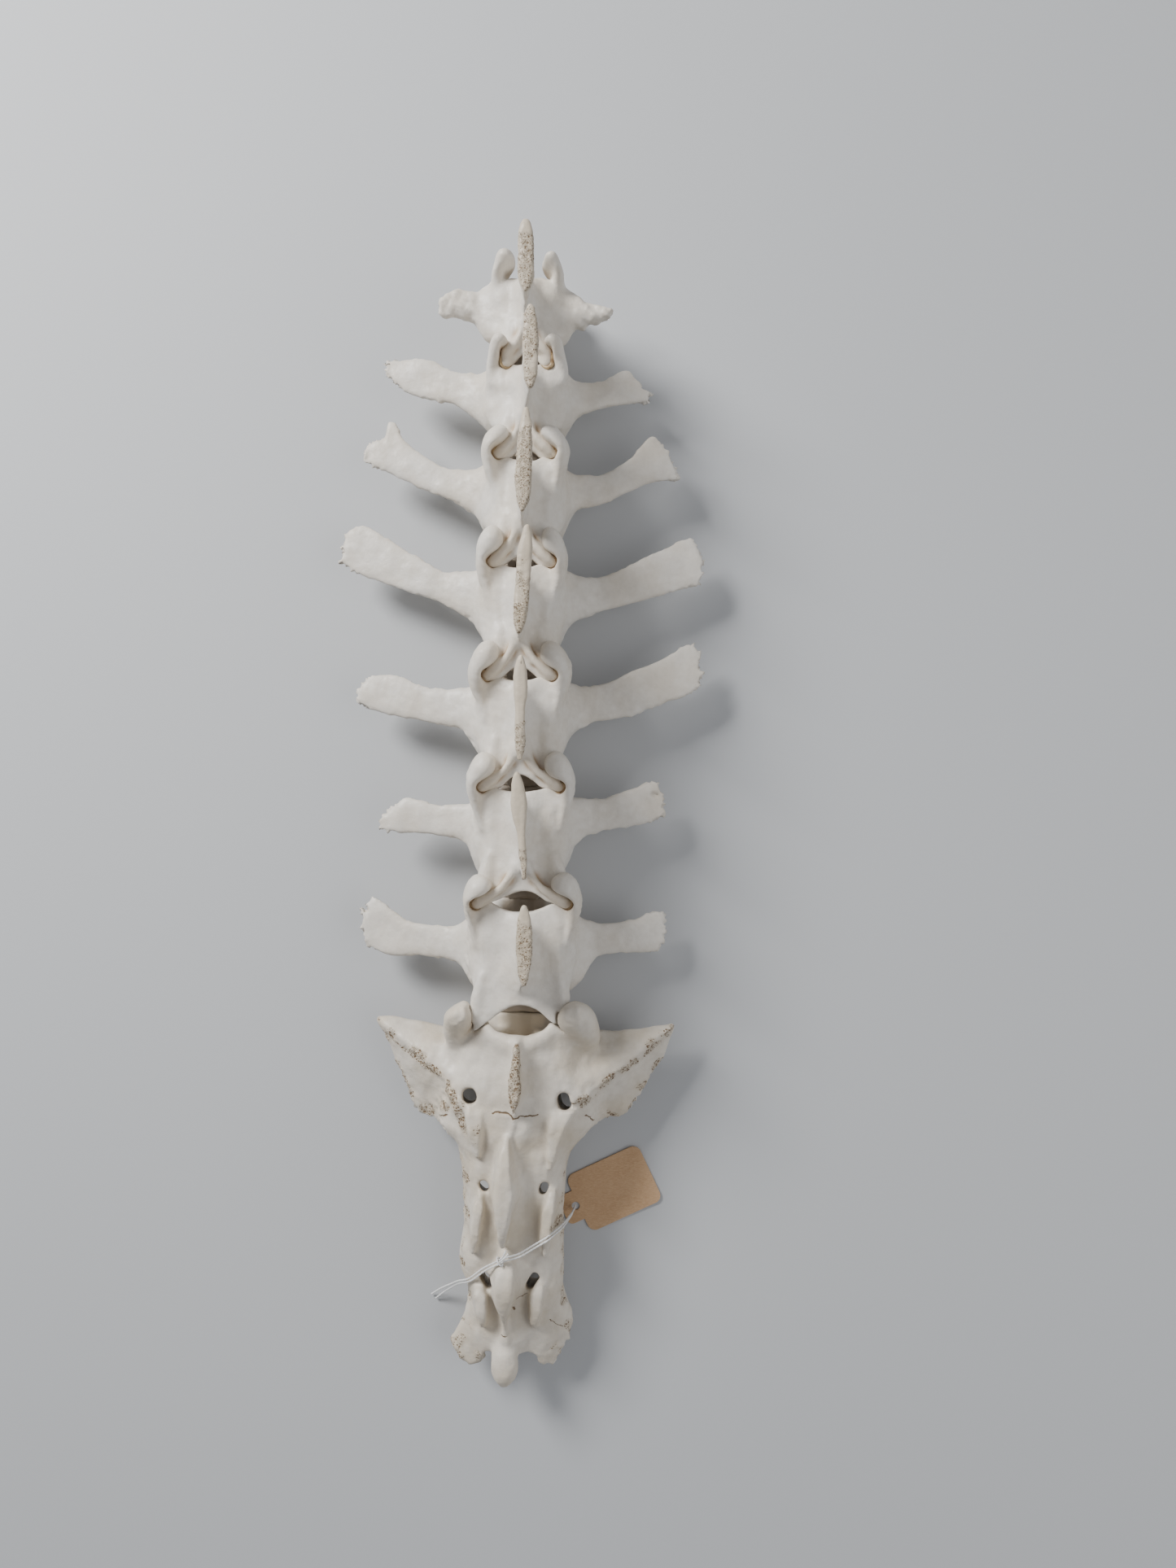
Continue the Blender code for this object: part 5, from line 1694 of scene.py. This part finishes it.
@dataclass
class CottonString:
    """The string, doubled: two twisted strands and the knot that holds them."""

    radius: float = 0.35
    step: float = 0.16
    pitch: float = 3.2
    ply_bulge: float = 0.13
    ply_inset: float = 0.86
    spacing: float = 1.05
    end_spacing: float = 2.2
    knot_point: int = 9
    knot_halves: tuple[float, float] = (1.55, 1.05)
    material: bpy.types.Material | None = None
    route: Stations = (
        (18.3, -139.1, 1.3), (17.6, -138.7, 8.0), (16.2, -138.3, 15.0), (14.8, -138.1, 20.6),
        (12.4, -138.2, 26.2), (8.6, -139.4, 31.2), (3.2, -143.4, 29.0), (-1.0, -145.4, 29.6),
        (-4.2, -145.6, 31.2), (-6.7, -146.6, 31.2), (-12.0, -150.6, 27.6), (-17.8, -156.6, 22.2),
        (-22.6, -160.6, 15.2), (-26.4, -164.6, 9.4), (-29.8, -168.4, 4.2), (-33.2, -171.9, 0.9),
    )

    def strand_path(self, side: Side) -> Array:
        """One strand's line: a smooth curve through the route, half the spacing to one side of it.

        Args:
            side: Which strand.

        Returns:
            Points along it.
        """
        route = np.array(self.route, float)
        lengths = np.linalg.norm(np.diff(route, axis=0), axis=1)
        stations = np.column_stack([np.concatenate([[0], np.cumsum(lengths)]), route])
        rows = through(stations, round(lengths.sum() / self.step) + 1)
        path = rows[:, 1:]
        along = np.gradient(path, axis=0)
        across = unit(np.column_stack([-along[:, 1], along[:, 0], np.zeros(len(path))]))
        share = rows[:, 0] / rows[-1, 0]
        spread = between(self.spacing, self.end_spacing, np.clip((share - 0.82) / 0.18, 0, 1))
        return path + across * (side.value * spread / 2)[:, None]

    def twisted(self, path: Array, closed: bool = False, count: int = 18) -> Skin:
        """A two-ply thread along a path.

        In words: the radius is wider on the two sides where the plies lie, 1 + bulge cos(2 (turn - twist)),
        and the twist goes once round in each pitch.

        Args:
            path: Points that the thread follows.
            closed: Whether it closes on itself.
            count: Points in a ring.

        Returns:
            The skin.
        """
        along = np.roll(path, -1, axis=0) - np.roll(path, 1, axis=0) if closed else np.gradient(path, axis=0)
        guide = np.array((0.55, 0.8, 0.2) if closed else (0.3, 0.9, 0.31))
        gone = np.concatenate([[0], np.cumsum(np.linalg.norm(np.diff(path, axis=0), axis=1))])
        turns = max(1, round(gone[-1] / self.pitch)) / gone[-1] if closed else 1 / self.pitch
        twist = 2 * math.pi * turns * gone[:, None]
        bulge = 1 + self.ply_bulge * np.cos(2 * (turns_round(count) - twist))
        skin = loft(rings_round(path, unit(along), guide, self.radius * self.ply_inset * bulge, count))
        if closed:
            index = np.arange(len(path) * count).reshape(len(path), count)
            beside, ahead = np.roll(index, -1, axis=1), np.roll(index, -1, axis=0)
            both = np.roll(ahead, -1, axis=1)
            skin.quads = np.stack([index, beside, both, ahead], axis=-1).reshape(-1, 4)
        return skin

    def build(self) -> list[bpy.types.Object]:
        """Returns:
            The three pieces.
        """
        pieces = []
        skins = [self.twisted(self.knot_line(), closed=True)]
        skins += [self.twisted(self.tail_line(side)) for side in Side]
        knot = self.piece("string_knot", joined(skins))
        for side, node in ((Side.LEFT, "string_left"), (Side.RIGHT, "string_right")):
            path = self.strand_path(side)
            strand = self.piece(node, self.twisted(path))
            pieces.append(strand)
        return [*pieces, knot]

    def knot_line(self) -> Array:
        """The ring of thread round both strands, square to the route.

        Returns:
            Points round it.
        """
        before, here, after = np.array(self.route[self.knot_point - 1:self.knot_point + 2], float)
        along = unit(after - before)
        across = unit(np.cross((0.0, 0.0, 1.0), along))
        up = np.cross(along, across)
        turn = np.linspace(0, 2 * math.pi, 60, endpoint=False)[:, None]
        return here + self.knot_halves[0] * np.cos(turn) * across + self.knot_halves[1] * np.sin(turn) * up

    def tail_line(self, side: Side) -> Array:
        """One of the knot's two short tails, which lie forwards over the crest.

        Args:
            side: Which tail.

        Returns:
            Points along it.
        """
        shift = 0.45 * side.value
        stations = np.array((
            (0, -6.5, -145.8, 32.3), (1.4, -5.5, -144.7, 33.0), (2.8, -4.7, -143.6, 33.3),
            (3.8, -4.1, -142.6, 33.4),
        ))
        stations[:, 2] += shift
        stations[:, 1] -= shift * np.array((0, 0, 0.6, 1))
        stations[-1, 0] += shift
        return through(stations, 28)[:, 1:]

    def piece(self, node: str, skin: Skin) -> bpy.types.Object:
        """A piece of string that stands for one CAD node."""
        quads = facing_out(skin.points, skin.quads)
        return dress(make_piece(node + "_cotton", skin.points, quads, {}, self.material), node)


# Finishes


Socket = bpy.types.NodeSocket
Colour = tuple[float, float, float]


class Wiring:
    """Adds nodes to a node tree and joins them, so that a finish reads from top to bottom."""

    def __init__(self, tree: bpy.types.NodeTree) -> None:
        """Works on this tree."""
        self.tree = tree

    def node(self, kind: str, inputs: dict[str | int, object] | None = None,
             **settings: object) -> bpy.types.Node:
        """Adds a node.

        Args:
            kind: Its type without the prefix, such as TexNoise.
            inputs: Values or sockets for its inputs, by name or number.
            settings: Its own settings.

        Returns:
            The node.
        """
        made = self.tree.nodes.new("ShaderNode" + kind)
        for name, value in settings.items():
            setattr(made, name, value)
        for key, value in (inputs or {}).items():
            self.feed(made.inputs[key], value)
        return made

    def feed(self, socket: Socket, value: object) -> None:
        """Joins a socket to another, or sets its value.

        Args:
            socket: The input.
            value: A socket, a number, a vector or a colour.
        """
        if isinstance(value, bpy.types.NodeSocket):
            self.tree.links.new(value, socket)
        elif isinstance(value, tuple) and socket.type == "RGBA":
            socket.default_value = (*value, 1.0)
        else:
            socket.default_value = value

    def maths(self, operation: str, first: object, second: object = 0.0, clamp: bool = False) -> Socket:
        """One sum on two numbers."""
        return self.node("Math", {0: first, 1: second}, operation=operation, use_clamp=clamp).outputs[0]

    def times(self, first: object, second: object, clamp: bool = False) -> Socket:
        """The product of two numbers."""
        return self.maths("MULTIPLY", first, second, clamp)

    def vector(self, operation: str, *inputs: object) -> Socket:
        """One sum on vectors. A dot product and a length come out as numbers."""
        made = self.node("VectorMath", dict(enumerate(inputs)), operation=operation)
        return made.outputs["Value" if operation in ("DOT_PRODUCT", "LENGTH") else "Vector"]

    def mix(self, share: object, first: object, second: object, way: str = "MIX") -> Socket:
        """A colour between two, by a share.

        Args:
            share: The share.
            first: The colour at 0.
            second: The colour at 1.
            way: Blender's name for how they blend.

        Returns:
            The colour.
        """
        made = self.node("Mix", data_type="RGBA", blend_type=way, clamp_factor=True)
        self.feed(made.inputs[0], share)
        self.feed(made.inputs[6], first)
        self.feed(made.inputs[7], second)
        return made.outputs[2]

    def spread(self, value: object, low: float, high: float, to_low: float = 0.0,
               to_high: float = 1.0) -> Socket:
        """A number moved from one range to another, eased and clamped."""
        made = self.node("MapRange", {0: value, 1: low, 2: high, 3: to_low, 4: to_high},
                         interpolation_type="SMOOTHSTEP")
        return made.outputs[0]

    def noise(self, vector: object, scale: float, detail: float = 2.0, rough: float = 0.5) -> Socket:
        """Soft noise at a scale of so many waves to the metre."""
        return self.node("TexNoise", {"Vector": vector, "Scale": scale, "Detail": detail,
                                      "Roughness": rough}).outputs["Fac"]

    def wobble(self, place: object, scale: float, detail: float, size: Station) -> Socket:
        """A vector of noise, from nought to a size on each axis."""
        noise = self.node("TexNoise", {"Vector": place, "Scale": scale, "Detail": detail})
        return self.vector("MULTIPLY", noise.outputs["Color"], size)

    def group(self, tree: bpy.types.NodeTree, **inputs: object) -> Socket:
        """What a shared group gives for these inputs."""
        return self.node("Group", inputs, node_tree=tree).outputs[0]

    def bump(self, height: object, strength: float, distance: float) -> Socket:
        """A normal that follows a height; the distance is in metres."""
        return self.node("Bump", {"Height": height, "Strength": strength, "Distance": distance}).outputs[0]

    def mark(self, name: str) -> Socket:
        """A value kept on the mesh."""
        return self.node("Attribute", attribute_name=name).outputs["Fac"]

    def place(self) -> Socket:
        """Where a point is on the object."""
        return self.node("TexCoord").outputs["Object"]


def new_material(name: str) -> tuple[bpy.types.Material, Wiring, bpy.types.NodeInputs]:
    """An empty material, with its wiring and the inputs of its shader.

    Args:
        name: Its name.

    Returns:
        The material, its wiring and its shader's inputs.
    """
    made = bpy.data.materials.new(name)
    made.use_nodes = True
    return made, Wiring(made.node_tree), made.node_tree.nodes["Principled BSDF"].inputs


def new_group(name: str, inputs: dict[str, tuple[str, object]], outputs: dict[str, str]) -> tuple[
        bpy.types.NodeTree, Wiring, bpy.types.Node, bpy.types.Node]:
    """A shader node group with named inputs and outputs.

    Args:
        name: Its name.
        inputs: Kind and first value of each input.
        outputs: Kind of each output.

    Returns:
        The tree, its wiring, and its input and output nodes.
    """
    tree = bpy.data.node_groups.new(name, "ShaderNodeTree")
    for label, (kind, value) in inputs.items():
        socket = tree.interface.new_socket(label, in_out="INPUT", socket_type="NodeSocket" + kind)
        if value is not None:
            socket.default_value = value
    for label, kind in outputs.items():
        tree.interface.new_socket(label, in_out="OUTPUT", socket_type="NodeSocket" + kind)
    wires = Wiring(tree)
    return tree, wires, tree.nodes.new("NodeGroupInput"), tree.nodes.new("NodeGroupOutput")


def pit_group() -> bpy.types.NodeTree:
    """Pits of uneven size: the dark of cells near their middles, thinned out by noise.

    Returns:
        A group from Vector, Scale and Amount to Pits, which is 1 in a pit.
    """
    tree, wires, start, end = new_group(
        "pits", {"Vector": ("Vector", None), "Scale": ("Float", 700.0), "Amount": ("Float", 0.5)},
        {"Pits": "Float"})
    place = start.outputs["Vector"]
    bent = wires.vector("ADD", place, wires.wobble(place, 900.0, 1.0, (0.0012, 0.0012, 0.0012)))
    cells = wires.node("TexVoronoi", {"Vector": bent, "Scale": start.outputs["Scale"], "Randomness": 1.0},
                       feature="F1")
    size = wires.node("SeparateColor", {0: cells.outputs["Color"]})
    near = wires.times(start.outputs["Amount"], wires.spread(size.outputs[0], 0.0, 1.0, 0.12, 0.46))
    inside = wires.maths("SUBTRACT", near, cells.outputs["Distance"])
    wires.feed(end.inputs["Pits"], wires.times(inside, 4.5, clamp=True))
    return tree


# Cracks and old seams of the sacrum: half width and a chain of (x, y), in millimetres.
CRACKS: tuple[tuple[float, Stations], ...] = (
    (0.34, ((-9.1, -96.0), (-8.0, -95.2), (-3.3, -95.7), (-1.9, -97.6), (0.3, -96.5), (6.3, -96.5))),
    (0.3, ((-28.3, -100.2), (-25.2, -98.6))),
    (0.3, ((22.5, -98.6), (25.3, -101.6))),
    (0.3, ((17.2, -93.3), (18.9, -93.6))),
    (0.17, ((-6.9, -176.2), (-5.0, -176.4))),
    (0.15, ((9.8, -172.3), (14.2, -176.2))),
    (0.12, ((-1.6, -162.6), (0.4, -161.9), (2.2, -161.2))),
    (0.5, ((-2.6, -166.0), (-2.4, -166.5))),
)


def crack_group() -> bpy.types.NodeTree:
    """The nearness of a point to a line seen from above.

    In words: along = the share of the way from First to Second that is nearest, clamped to the line;
    the line is 1 where the distance is nought and 0 at Width.

    Returns:
        A group from Vector, First, Second and Width to Line.
    """
    tree, wires, start, end = new_group(
        "crack", {"Vector": ("Vector", None), "First": ("Vector", None), "Second": ("Vector", None),
                  "Width": ("Float", 0.00042)}, {"Line": "Float"})
    first, second = start.outputs["First"], start.outputs["Second"]
    flat = wires.vector("MULTIPLY", start.outputs["Vector"], (1.0, 1.0, 0.0))
    away, way = wires.vector("SUBTRACT", flat, first), wires.vector("SUBTRACT", second, first)
    share = wires.maths("DIVIDE", wires.vector("DOT_PRODUCT", away, way),
                        wires.vector("DOT_PRODUCT", way, way), clamp=True)
    reached = wires.node("VectorMath", {0: way, "Scale": share}, operation="SCALE").outputs[0]
    distance = wires.vector("LENGTH", wires.vector("SUBTRACT", away, reached))
    near = wires.maths("DIVIDE", distance, start.outputs["Width"])
    wires.feed(end.inputs["Line"], wires.maths("SUBTRACT", 1.0, near, clamp=True))
    return tree


@dataclass(frozen=True)
class BoneFinish:
    """Dry, cleaned bone: pale, mottled and a little shiny, brown in its joints and pits, with painted shade
    in its hollows.
    """

    name: str = "bone"
    pale: Colour = (0.73, 0.69, 0.625)
    warm: Colour = (0.65, 0.58, 0.475)
    # Darker tone of the fine mottle, and of the painted shade in hollows and creases.
    mottle_and_shade: Colour = (0.45, 0.385, 0.30)
    stain: Colour = (0.34, 0.20, 0.085)
    canal: Colour = (0.52, 0.45, 0.365)
    rim: Colour = (0.33, 0.24, 0.145)
    pit: Colour = (0.11, 0.06, 0.028)
    worn: Colour = (0.50, 0.41, 0.285)
    warmth: float = 0.6
    pore_scale: float = 2200.0
    pore_amount: float = 1.3
    cracks: tuple[tuple[float, Stations], ...] = ()

    def lines(self, wires: Wiring, place: Socket) -> Socket:
        """All the cracks as one value, with a wobble from noise.

        Args:
            wires: The material's wiring.
            place: Where a point is on the object.

        Returns:
            1 in a crack, 0 away from all.
        """
        group = crack_group()
        bent = wires.vector("ADD", place, wires.wobble(place, 600.0, 2.0, (0.0014, 0.0014, 0.0)))
        moved = wires.vector("ADD", bent, (-0.0007, -0.0007, 0.0))
        total: object = 0.0
        for width, chain in self.cracks:
            ends = [(x * MM, y * MM, 0.0) for x, y in chain]
            for first, second in zip(ends, ends[1:]):
                line = wires.group(group, Vector=moved, First=first, Second=second, Width=width * MM)
                total = wires.maths("MAXIMUM", total, line)
        return wires.times(total, 1.6, clamp=True)

    def material(self, pits: bpy.types.NodeTree) -> bpy.types.Material:
        """Builds the material from object coordinates and the marks on the mesh.

        Args:
            pits: The group that makes pits.

        Returns:
            The material.
        """
        made, wires, shader = new_material(self.name)
        place = wires.place()
        porous, hollow, worn, stained = (wires.mark(name) for name in ("porous", "hollow", "worn", "stain"))
        cloud = wires.spread(wires.noise(place, 70, 3), 0.35, 0.7)
        colour = wires.mix(wires.times(cloud, self.warmth), self.pale, self.warm)
        fine = wires.spread(wires.noise(place, 420, 4, 0.6), 0.3, 0.75)
        colour = wires.mix(wires.times(fine, 0.22), colour, self.mottle_and_shade)
        colour = wires.mix(wires.times(worn, 0.72), colour, self.worn)
        # Painted shade: the colour darkens towards the darker tone where the surroundings are mostly bone, in
        # hollows, creases and between parts.
        colour = wires.mix(wires.spread(hollow, 0.52, 0.85, 0.0, 0.5), colour, self.mottle_and_shade)
        patch = wires.spread(wires.noise(place, 260, 3), 0.25, 0.55)
        creep = wires.times(stained, wires.spread(hollow, 0.36, 0.52, 0.1, 1.0))
        colour = wires.mix(wires.times(stained, 0.7), colour, self.warm)
        colour = wires.mix(wires.times(wires.times(creep, patch), 0.85, clamp=True), colour, self.stain)
        # Inside the canal the colour turns to the canal colour: darker on the vertebrae, and on the sacrum a
        # painted light that is paler than the bone.
        colour = wires.mix(wires.mark("canal"), colour, self.canal)
        pores = wires.group(pits, Vector=place, Scale=self.pore_scale,
                            Amount=wires.spread(porous, 0.12, 0.9, 0.0, self.pore_amount))
        pinholes = wires.group(pits, Vector=place, Scale=170.0, Amount=0.105)
        small = wires.group(pits, Vector=place, Scale=self.pore_scale * 2.3,
                            Amount=wires.spread(porous, 0.2, 1.0, 0.0, self.pore_amount))
        deepest = wires.maths("MAXIMUM", pores, wires.times(small, 0.7))
        deepest = wires.maths("MAXIMUM", deepest, pinholes)
        if self.cracks:
            deepest = wires.maths("MAXIMUM", deepest, self.lines(wires, place))
        colour = wires.mix(wires.times(deepest, 1.3, clamp=True), colour, self.rim)
        colour = wires.mix(wires.spread(deepest, 0.55, 1.0, 0.0, 0.7), colour, self.pit)
        wires.feed(shader["Base Color"], colour)
        shine = wires.times(wires.times(wires.mark("glue"), patch), 0.35)
        rough = wires.spread(fine, 0.0, 1.0, 0.42, 0.6)
        wires.feed(shader["Roughness"], wires.maths("SUBTRACT", rough, shine))
        grain = wires.times(wires.noise(place, 1500, 3), 0.12)
        ripple = wires.times(wires.noise(place, 380, 4, 0.6), 0.5)
        relief = wires.maths("SUBTRACT", wires.maths("ADD", grain, ripple), deepest)
        wires.feed(shader["Normal"], wires.bump(relief, 0.6, 0.0006))
        return made


# The sacrum is a shade darker than the vertebrae, with coarser pores; its canal colour is painted light,
# paler than the bone, on the shaded canal floor under the opening in front of it.
SACRAL = BoneFinish(
    name="bone_sacrum", pale=(0.71, 0.655, 0.57), warm=(0.60, 0.52, 0.40), canal=(0.80, 0.71, 0.57),
    warmth=0.8, pore_scale=1350.0, pore_amount=1.5, cracks=CRACKS,
)


@dataclass(frozen=True)
class SeamFinish:
    """Yellowed glue and dried dirt in the grooves round the rods, darker in patches."""

    name: str = "seam"
    amber: Colour = (0.40, 0.29, 0.16)
    dark: Colour = (0.17, 0.10, 0.045)

    def material(self) -> bpy.types.Material:
        """Builds the material.

        Returns:
            The material.
        """
        made, wires, shader = new_material(self.name)
        patch = wires.spread(wires.noise(wires.place(), 420, 3, 0.6), 0.35, 0.65)
        wires.feed(shader["Base Color"], wires.mix(patch, self.amber, self.dark))
        shader["Roughness"].default_value = 0.35
        return made


@dataclass(frozen=True)
class CardFinish:
    """Brown recycled card with fibres and flecks."""

    name: str = "card"
    base: Colour = (0.49, 0.30, 0.16)
    pale: Colour = (0.60, 0.40, 0.235)
    fleck: Colour = (0.24, 0.13, 0.06)

    def material(self) -> bpy.types.Material:
        """Builds the material.

        Returns:
            The material.
        """
        made, wires, shader = new_material(self.name)
        place = wires.place()
        long = wires.node("Mapping", {"Vector": place, "Rotation": (0, 0, 0.4), "Scale": (1, 5, 1)})
        fibres = wires.noise(long.outputs[0], 900, 4, 0.65)
        colour = wires.mix(wires.spread(fibres, 0.35, 0.7), self.base, self.pale)
        cloud = wires.spread(wires.noise(place, 140, 2), 0.35, 0.7)
        colour = wires.mix(wires.times(cloud, 0.25), colour, self.pale)
        flecks = wires.spread(wires.noise(place, 1900, 2, 0.7), 0.66, 0.74)
        colour = wires.mix(wires.times(flecks, 0.6), colour, self.fleck)
        wires.feed(shader["Base Color"], colour)
        shader["Roughness"].default_value = 0.85
        wires.feed(shader["Normal"], wires.bump(fibres, 0.25, 0.0003))
        return made


@dataclass(frozen=True)
class CottonFinish:
    """White cotton with fine hairs."""

    name: str = "cotton"
    base: Colour = (0.80, 0.80, 0.79)
    shade: Colour = (0.62, 0.61, 0.58)

    def material(self) -> bpy.types.Material:
        """Builds the material.

        Returns:
            The material.
        """
        made, wires, shader = new_material(self.name)
        hairs = wires.noise(wires.place(), 3000, 3, 0.7)
        wires.feed(shader["Base Color"], wires.mix(wires.spread(hairs, 0.4, 0.7), self.base, self.shade))
        shader["Roughness"].default_value = 0.9
        shader["Sheen Weight"].default_value = 0.2
        wires.feed(shader["Normal"], wires.bump(hairs, 0.4, 0.0002))
        return made


# Floor, light and camera


@dataclass(frozen=True)
class Studio:
    """A pale floor, soft light from the left and the head end, and the photograph's camera above."""

    camera_at: tuple[float, float, float] = (0.0232, 0.0153, 0.415)
    lens: float = 26.0
    sensor: float = 36.0
    floor_half: float = 2.0
    floor_colour: Colour = (0.50, 0.51, 0.52)
    sky: tuple[float, float, float, float] = (0.9, 0.93, 1.0, 1)
    sky_strength: float = 0.30

    def build(self) -> None:
        """Makes the floor, the lights and the camera."""
        half = self.floor_half
        mesh = bpy.data.meshes.new("floor")
        mesh.from_pydata([(-half, -half, 0), (half, -half, 0), (half, half, 0), (-half, half, 0)], [],
                         [(0, 1, 2, 3)])
        floor = bpy.data.objects.new("floor", mesh)
        bpy.context.scene.collection.objects.link(floor)
        plain, _, shader = new_material("floor")
        shader["Base Color"].default_value = (*self.floor_colour, 1)
        shader["Roughness"].default_value = 0.7
        mesh.materials.append(plain)
        self.light("key", (-0.62, 0.62, 0.62), 0.35, 17.0)
        self.light("fill", (0.8, -0.1, 0.7), 0.9, 4.0)
        world = bpy.data.worlds.new("studio")
        world.use_nodes = True
        sky = world.node_tree.nodes["Background"].inputs
        sky["Color"].default_value = self.sky
        sky["Strength"].default_value = self.sky_strength
        bpy.context.scene.world = world
        camera = bpy.data.cameras.new("camera")
        camera.sensor_fit = "VERTICAL"
        camera.sensor_height = self.sensor
        camera.lens = self.lens
        camera.clip_start = 0.01
        seat = bpy.data.objects.new("camera", camera)
        seat.location = self.camera_at
        bpy.context.scene.collection.objects.link(seat)
        bpy.context.scene.camera = seat

    def light(self, name: str, at: tuple[float, float, float], size: float, energy: float) -> None:
        """A soft square light that points at the spine.

        Args:
            name: Its name.
            at: Its place in metres.
            size: Length of its side.
            energy: Its power in watts.
        """
        lamp = bpy.data.lights.new(name, "AREA")
        lamp.size = size
        lamp.energy = energy
        seat = bpy.data.objects.new(name, lamp)
        seat.location = at
        seat.rotation_euler = (-Vector(at)).to_track_quat("-Z", "Y").to_euler()
        bpy.context.scene.collection.objects.link(seat)


def main() -> None:
    """Loads the CAD frame and builds the studio, the string, the tag and the bones, logging each piece's
    counts of points and faces.
    """
    logging.basicConfig(level=logging.INFO, format="%(name)s: %(message)s")
    for thing in list(bpy.data.objects):
        bpy.data.objects.remove(thing)
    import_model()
    Studio().build()
    CottonString(material=CottonFinish().material()).build()
    Tag(material=CardFinish().material()).build()
    pits = pit_group()
    bone = BoneFinish().material(pits)
    seam = SeamFinish().material()
    sacral = SACRAL.material(pits)
    for number, (sizes, front, back) in enumerate(zip(VERTEBRAE, JOINTS, JOINTS[1:])):
        Vertebra(sizes, front, back, seed=100 * (number + 1), material=bone,
                 seam_material=seam).build()
    Sacrum(seed=900, material=sacral).build()


if __name__ == "__main__":
    main()
